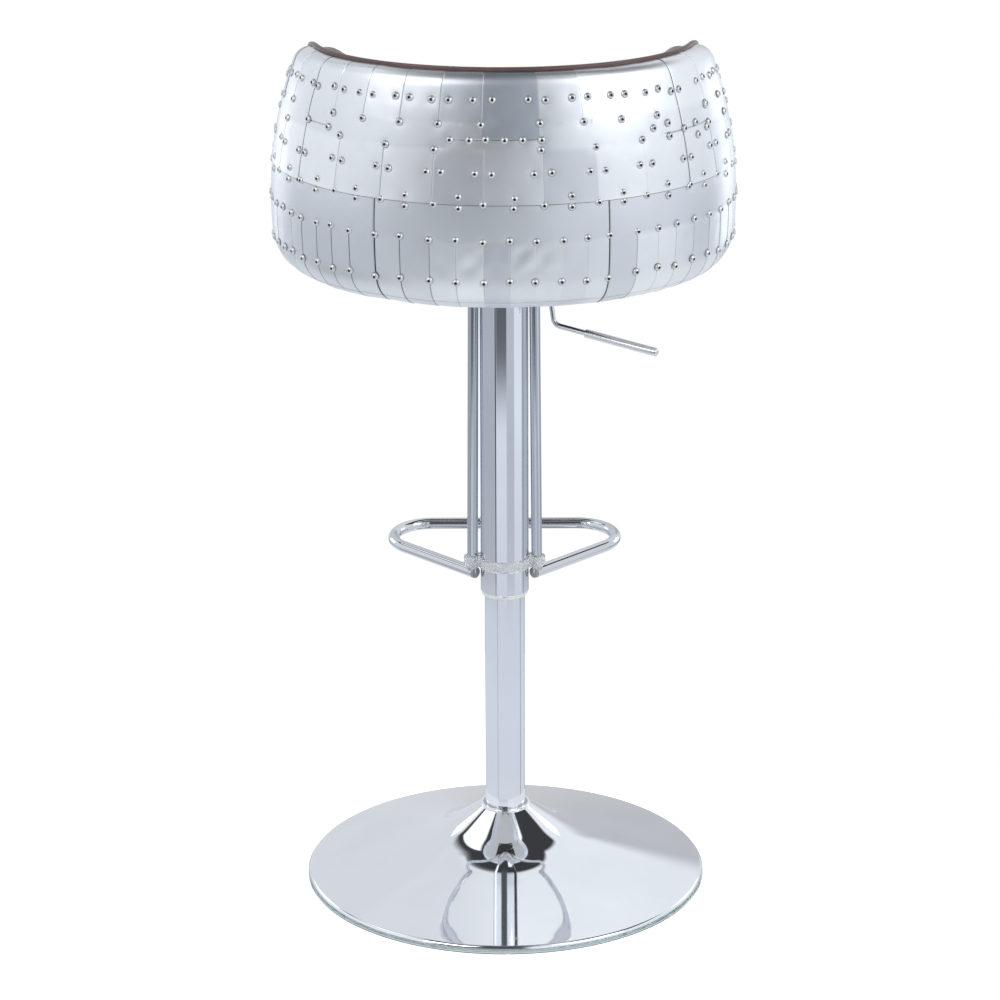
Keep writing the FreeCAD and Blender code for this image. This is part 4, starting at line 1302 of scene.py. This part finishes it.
makeSkin(skin)
makeRivets(rivetHead)
makeCore(core)
print("tub done")


# Upholstery: lining pad, welt and cushion

lining = {
    "inset": 0.0133,
    "thickness": 0.031,
    "forward": 0.008,
    "aboveRim": 0.003,
    "bottom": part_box("back_pad")[0].z,
    "cap": 0.011,
    "faceRows": 26,
    "capRows": 14,
    "columns": 300,
    "shrink": 0.0025,
    "voxel": 0.005,
    "pressure": 4.0,
    "mostSwell": 0.005,
}

cushion = {
    "gap": 0.002,
    "drawIn": 0.008,
    "bandHeight": 0.074,
    "bandRows": 14,
    "crown": 0.040,
    "crownPower": 5.0,
    "crownSpacing": 1.6,
    "crownRows": 26,
    "bottom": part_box("seat_cushion")[0].z,
    "bottomRows": 14,
    "columns": 220,
    "shrink": 0.004,
    "bottomShrink": 0.2,
    "voxel": 0.005,
    "pressure": 4.0,
    "mostSwell": 0.006,
    "pipeRadius": 0.0030,
    "pipeOut": 0.0034,
    "pipeSides": 10,
    "pipeSharpAngle": 60,
}


def inflate(piece, p, frames=20, quality=4):
    # Meshed evenly, blown up as cloth for some frames, and every point kept near to where it started
    remesh = piece.modifiers.new("evenMesh", "REMESH")
    remesh.mode = "VOXEL"
    remesh.voxel_size = p["voxel"]
    old = piece.data
    piece.data = evaluatedMesh(piece)
    piece.modifiers.clear()
    bpy.data.meshes.remove(old)
    start = coordinates(piece.data)
    cloth = piece.modifiers.new("stuffing", "CLOTH")
    cloth.settings.use_pressure = True
    cloth.settings.uniform_pressure_force = p["pressure"]
    cloth.settings.effector_weights.gravity = 0
    cloth.settings.quality = quality
    cloth.point_cache.frame_start = 1
    cloth.point_cache.frame_end = frames
    for number in range(1, frames + 1):
        bpy.context.scene.frame_set(number)
    swollen = evaluatedMesh(piece)
    move = coordinates(swollen) - start
    bpy.data.meshes.remove(swollen)
    piece.modifiers.clear()
    bpy.context.scene.frame_set(1)
    reach = np.maximum(np.linalg.norm(move, axis=1, keepdims=True), tiny)
    start = start + move * np.minimum(1, p["mostSwell"] / reach)
    piece.data.vertices.foreach_set("co", start.astype(np.float32).ravel())
    soften = piece.modifiers.new("softened", "SUBSURF")
    soften.levels = 1
    soften.render_levels = 1
    piece.data.shade_smooth()
    return piece


def wellRadius(level, theta, p):
    # The inner face: a circle set a little forward, straight to the belly and then drawn in like the wall
    inset = p["inset"] + p["thickness"]
    side = tub["sideRadius"] - inset
    rise = np.maximum(level - belly, 0)
    circle = tub["halfWidth"] - inset - side + np.sqrt(side**2 - rise**2)
    forward = p["forward"]
    return -forward * np.cos(theta) + np.sqrt(circle**2 - (forward * np.sin(theta)) ** 2)


def makeLining(p):
    # Up the outer face, over a rounded top and down the inner face, at every angle round the tub
    theta = roundTub(p["columns"])
    top = rimAtWall(theta, p["inset"]) + p["aboveRim"] - p["shrink"]
    bottom = p["bottom"] + p["shrink"]
    share = np.linspace(0, 1, p["faceRows"])[:, None]
    rising = bottom + share * (top - p["cap"] - bottom)
    turn = np.linspace(0, np.pi, p["capRows"])[1:-1, None]
    capLevel = top - p["cap"] + p["cap"] * np.sin(turn)
    level = np.vstack((rising, capLevel, rising[::-1]))
    outside = wallRadius(level, p["inset"]) - p["shrink"]
    inside = wellRadius(level, theta, p) + p["shrink"]
    lean = np.vstack((np.zeros_like(share), (1 - np.cos(turn)) / 2, np.ones_like(share)))
    points = squeezed(outside + (inside - outside) * lean, theta, level)
    mesh = newMesh("liningPad", points, gridFaces(*level.shape, closeRows=True, closeColumns=True), {})
    weld(mesh)
    piece = inflate(addObject("liningPad", mesh), p)
    settle(piece, finishes["brown_leather"], "seat", "brown_leather", ["back_pad"])
    print("lining pad", len(piece.data.polygons), "faces")


welt = {
    "inset": 0.01205,
    "width": 0.0055,
    "below": 0.0010,
    "above": 0.0046,
    "squareness": 0.7,
    "sides": 16,
    "columns": 420,
    "sharpAngle": 60,
}


def makeWelt(p):
    # A flat-bottomed band with a rounded top that stands on the rolled edge all the way round;
    # its section is a squarish ring, the cosine and sine pushed outwards by a power below one
    def squarish(wave):
        return np.sign(wave) * np.abs(wave) ** p["squareness"]

    theta = roundTub(p["columns"])
    middle = wallRadius(rimAtWall(theta)) - p["inset"] - p["width"] / 2
    base = rimLevel(middle, theta)
    turn = np.linspace(-0.5 * np.pi, 1.5 * np.pi, p["sides"], endpoint=False)[:, None]
    halfHeight = (p["above"] + p["below"]) / 2
    radius = middle + squarish(np.cos(turn)) * p["width"] / 2
    level = base + (p["above"] - p["below"]) / 2 + squarish(np.sin(turn)) * halfHeight
    points = squeezed(radius, theta, level)
    faces = gridFaces(*level.shape, closeRows=True, closeColumns=True)
    makePiece("rimWelt", points, faces, finishes["welt_leather"], "seat", "welt_leather", ["rim_welt"],
              sharpAngle=p["sharpAngle"])


def makeCushion(p, well):
    # A boxed cushion: drawn-in sides that bulge at mid height, a rounded shoulder and a low crown
    theta = roundTub(p["columns"])
    widest = tub["halfWidth"] - well["inset"] - well["thickness"] - p["gap"] - p["shrink"]
    waist = widest - p["drawIn"]
    bottom = p["bottom"] + p["shrink"] * p["bottomShrink"]
    bandTop = p["bottom"] + p["bandHeight"]
    crownTop = bandTop + p["crown"] - p["shrink"]
    rise = np.linspace(0, 1, p["bandRows"])
    band = np.column_stack((waist + p["drawIn"] * np.sin(np.pi * rise), bottom + rise * (bandTop - bottom)))
    inward = np.linspace(0, 1, p["crownRows"])[1:]
    crownRadius = waist * (1 - inward ** p["crownSpacing"])
    crownLevel = bandTop + (crownTop - bandTop) * (1 - (crownRadius / waist) ** p["crownPower"])
    crown = np.column_stack((crownRadius, crownLevel))
    floorRadius = np.linspace(0, waist, p["bottomRows"])[:-1]
    underside = np.column_stack((floorRadius, np.full_like(floorRadius, bottom)))
    profile = np.vstack((underside, band, crown))
    shift = np.array((0.0, squeeze * well["forward"], 0.0))
    points = squeezed(profile[:, :1], theta, profile[:, 1:]) + shift
    mesh = newMesh("seatCushion", points, gridFaces(len(profile), p["columns"], closeColumns=True), {})
    weld(mesh)
    piece = inflate(addObject("seatCushion", mesh), p)
    settle(piece, finishes["brown_leather"], "seat", "brown_leather", ["seat_cushion"])
    # A round cord is sewn along the cushion's upper edge
    turn = fullTurn(p["pipeSides"])[:, None]
    cordRadius = waist + p["pipeOut"] + p["pipeRadius"] * np.cos(turn)
    cord = squeezed(cordRadius, theta, bandTop + p["pipeRadius"] * np.sin(turn)) + shift
    faces = gridFaces(*cord.shape[:2], closeRows=True, closeColumns=True)
    makePiece("cushionPiping", cord, faces, finishes["welt_leather"], "seat", "welt_leather",
              sharpAngle=p["pipeSharpAngle"])
    print("cushion", len(piece.data.polygons), "faces")


makeLining(lining)
makeWelt(welt)
makeCushion(cushion, lining)
print("upholstery done")


# Stage: pale floor, studio surroundings, lamps and camera

stage = {
    "floorRadius": 0.65,
    "floorSegments": 96,
    "floorColour": (0.86, 0.86, 0.87, 1),
    "floorSpeck": (0.88, 0.88, 0.89, 1),
    "floorGlow": 0.62,
    "plainLevel": 0.80,
    "roomLevel": 0.90,
    "ceilingGain": 0.06,
    "ceilingRise": (-60.0, 70.0),
    "roomTint": (0.945, 0.97, 1.0, 1),
    "tubeTint": (0.86, 0.91, 1.0, 1),
    "tubeDepth": 18.0,
    "tubeFade": (4.0, 9.0),
    # Each panel: azimuth from the camera's side towards +X, elevation, half width and half height,
    # softness of both, level
    "panels": (
        # Dark ceiling, lower at the sides, with a large white light in it and a smaller one
        (0.0, 90.0, 200.0, 33.0, 1.0, 1.5, 0.05),
        (-118.0, 50.0, 27.0, 13.0, 3.0, 2.0, 0.05),
        (112.0, 53.0, 25.0, 11.0, 3.0, 2.0, 0.05),
        (-110.0, 55.0, 18.0, 13.0, 1.5, 1.5, 1.30),
        (62.0, 70.0, 27.0, 5.0, 2.0, 1.0, 1.30),
        # Greyer walls behind the stool
        (172.0, 4.0, 14.0, 18.0, 7.0, 3.0, 0.58),
        (-172.0, -1.0, 10.0, 8.0, 6.0, 5.0, 0.68),
        # The dim side of the room that the camera stands in
        (-14.0, 29.0, 27.0, 32.0, 4.0, 4.0, 0.10),
        # A slightly greyer wall far on the left, and the dim foot of the room on that side
        (-158.0, 30.0, 20.0, 26.0, 6.0, 6.0, 0.80),
        (-158.0, 18.0, 20.0, 23.0, 6.0, 2.0, 0.77),
        (-80.0, -34.0, 32.0, 10.0, 10.0, 6.0, 0.46),
        # What the upright tubes show, all just below the horizon: the column low down, the sleeve above it
        (0.0, -25.0, 200.0, 4.5, 1.0, 1.0, 0.78),
        (-101.5, -17.7, 54.5, 3.9, 1.5, 0.3, 0.52),
        (29.5, -17.7, 18.5, 3.9, 1.5, 0.3, 0.60),
        (124.5, -17.7, 33.5, 3.9, 1.5, 0.3, 0.52),
        (-13.5, -14.6, 24.5, 4.85, 1.5, 0.5, 0.14),
        (-42.5, -17.7, 3.4, 3.9, 1.0, 0.3, 0.08),
        (-42.5, -23.5, 1.2, 3.0, 0.6, 1.0, 0.40),
        (100.0, -20.0, 1.6, 6.0, 0.6, 2.0, 0.12),
        (150.0, -20.0, 1.6, 6.0, 0.6, 2.0, 0.12),
        (-157.0, -20.0, 2.0, 6.0, 0.8, 2.0, 0.10),
        (157.0, -20.0, 2.0, 6.0, 0.8, 2.0, 0.10),
    ),
    # Each lamp: place, side of its square, power, and whether mirrors show it
    "lamps": (
        ("keyLamp", (-1.6, -2.2, 2.6), 1.6, 26.0, True),
        ("fillLamp", (2.0, -1.4, 2.2), 1.8, 16.0, True),
        ("topLamp", (0.2, 0.8, 3.0), 1.8, 18.0, False),
        ("leftEdgeLamp", (-0.95, 0.75, 0.60), 0.5, 0.6, True),
        ("rightEdgeLamp", (0.95, 0.75, 0.60), 0.5, 0.85, True),
    ),
    "aim": (0.0, 0.0, 0.70),
}

viewCamera = {
    "place": (-0.0050, -5.4597, 2.5057),
    "tilt": 69.381,
    "roll": -0.19,
    "lens": 188.557,
    "sensor": 36.0,
    "clipEnd": 50.0,
}


def makeFloor(p):
    # A flat disc, painted pale for the light it gives and glowing a little towards the camera
    profile = np.array(((0.0, 0.0), (p["floorRadius"], 0.0)))
    faces = gridFaces(len(profile), p["floorSegments"], closeColumns=True)
    mesh = newMesh("floor", revolve(profile, p["floorSegments"]), faces, {})
    weld(mesh)
    finish, wire = newFinish("paleFloor")
    speck = wire.noise(wire.places(), scale=30.0)
    colour = speck.mixed(p["floorColour"], p["floorSpeck"])
    seen = wire.node("ShaderNodeLightPath", {}, {}, "Is Camera Ray")
    paint = wire.node("ShaderNodeBsdfDiffuse", {}, {"Color": colour})
    glow = wire.node("ShaderNodeEmission", {}, {"Color": (1, 1, 1, 1), "Strength": seen * p["floorGlow"]})
    both = wire.node("ShaderNodeAddShader", {}, {0: paint, 1: glow})
    # Mirrors look through the floor, so that the room's panels show in the upright tubes
    mirrored = wire.node("ShaderNodeLightPath", {}, {}, "Is Glossy Ray")
    nothing = wire.node("ShaderNodeBsdfTransparent", {}, {})
    surface = wire.node("ShaderNodeMixShader", {}, {0: mirrored, 1: both, 2: nothing})
    wire.node("ShaderNodeOutputMaterial", {}, {"Surface": surface})
    mesh.materials.append(finish)
    addObject("floor", mesh)


def makeSurroundings(p):
    # White to the camera, an even grey to matt surfaces, and in reflections a studio of soft panels;
    # each panel pulls the level towards its own by how far a direction is inside its width and height
    world = bpy.data.worlds.new("studio")
    world.use_nodes = True
    world.node_tree.nodes.clear()
    wire = Wire(world.node_tree)
    spot = {"Vector": wire.node("ShaderNodeTexCoord", {}, {}, "Generated")}
    x, y, z = (wire.node("ShaderNodeSeparateXYZ", {}, spot, axis) for axis in "XYZ")
    degrees = 180 / math.pi
    azimuth = wire.maths("ARCTAN2", x, 0 - y) * degrees
    elevation = wire.maths("ARCSINE", z) * degrees
    level = elevation.between(*p["ceilingRise"]) * p["ceilingGain"] + p["roomLevel"]
    for side, rise, halfWidth, halfHeight, softWide, softHigh, bright in p["panels"]:
        turned = wire.maths("ABSOLUTE", wire.maths("WRAP", azimuth - side, 180.0, -180.0))
        lifted = wire.maths("ABSOLUTE", elevation - rise)
        inside = 1 - turned.between(halfWidth - softWide, halfWidth + softWide)
        inside = inside * (1 - lifted.between(halfHeight - softHigh, halfHeight + softHigh))
        level = level + inside * (bright - level)
    rays = ("Is Camera Ray", "Is Glossy Ray", "Is Transmission Ray")
    seen, glossy, passed = (wire.node("ShaderNodeLightPath", {}, {}, ray) for ray in rays)
    mirrored = wire.maths("MAXIMUM", glossy, passed)
    strength = p["plainLevel"] + mirrored * (level - p["plainLevel"])
    strength = strength + seen * (1.0 - strength)
    # The upright tubes mirror a band below the horizon, which is cooler
    cool = 1 - wire.maths("ABSOLUTE", elevation + p["tubeDepth"]).between(*p["tubeFade"])
    tint = seen.mixed(cool.mixed(p["roomTint"], p["tubeTint"]), (1, 1, 1, 1))
    shade = wire.node("ShaderNodeBackground", {}, {"Color": tint, "Strength": strength})
    wire.node("ShaderNodeOutputWorld", {}, {"Surface": shade})
    bpy.context.scene.world = world


def makeLamps(p):
    for name, place, size, power, mirrored in p["lamps"]:
        lamp = bpy.data.lights.new(name, "AREA")
        lamp.shape = "SQUARE"
        lamp.size = size
        lamp.energy = power
        holder = addObject(name, lamp)
        holder.visible_camera = False
        holder.visible_glossy = mirrored
        aim = Vector(place) - Vector(p["aim"])
        facing = aim.to_track_quat("Z", "Y").to_matrix().to_4x4()
        holder.matrix_world = Matrix.Translation(place) @ facing


def makeCamera(p):
    lens = bpy.data.cameras.new("viewCamera")
    lens.lens = p["lens"]
    lens.sensor_width = p["sensor"]
    lens.clip_end = p["clipEnd"]
    camera = addObject("viewCamera", lens)
    tilt = Matrix.Rotation(math.radians(p["tilt"]), 4, "X")
    roll = Matrix.Rotation(math.radians(p["roll"]), 4, "Z")
    camera.matrix_world = Matrix.Translation(p["place"]) @ tilt @ roll
    bpy.context.scene.camera = camera


makeFloor(stage)
makeSurroundings(stage)
makeLamps(stage)
makeCamera(viewCamera)
bpy.context.scene.view_settings.view_transform = "Standard"
print("stage done")
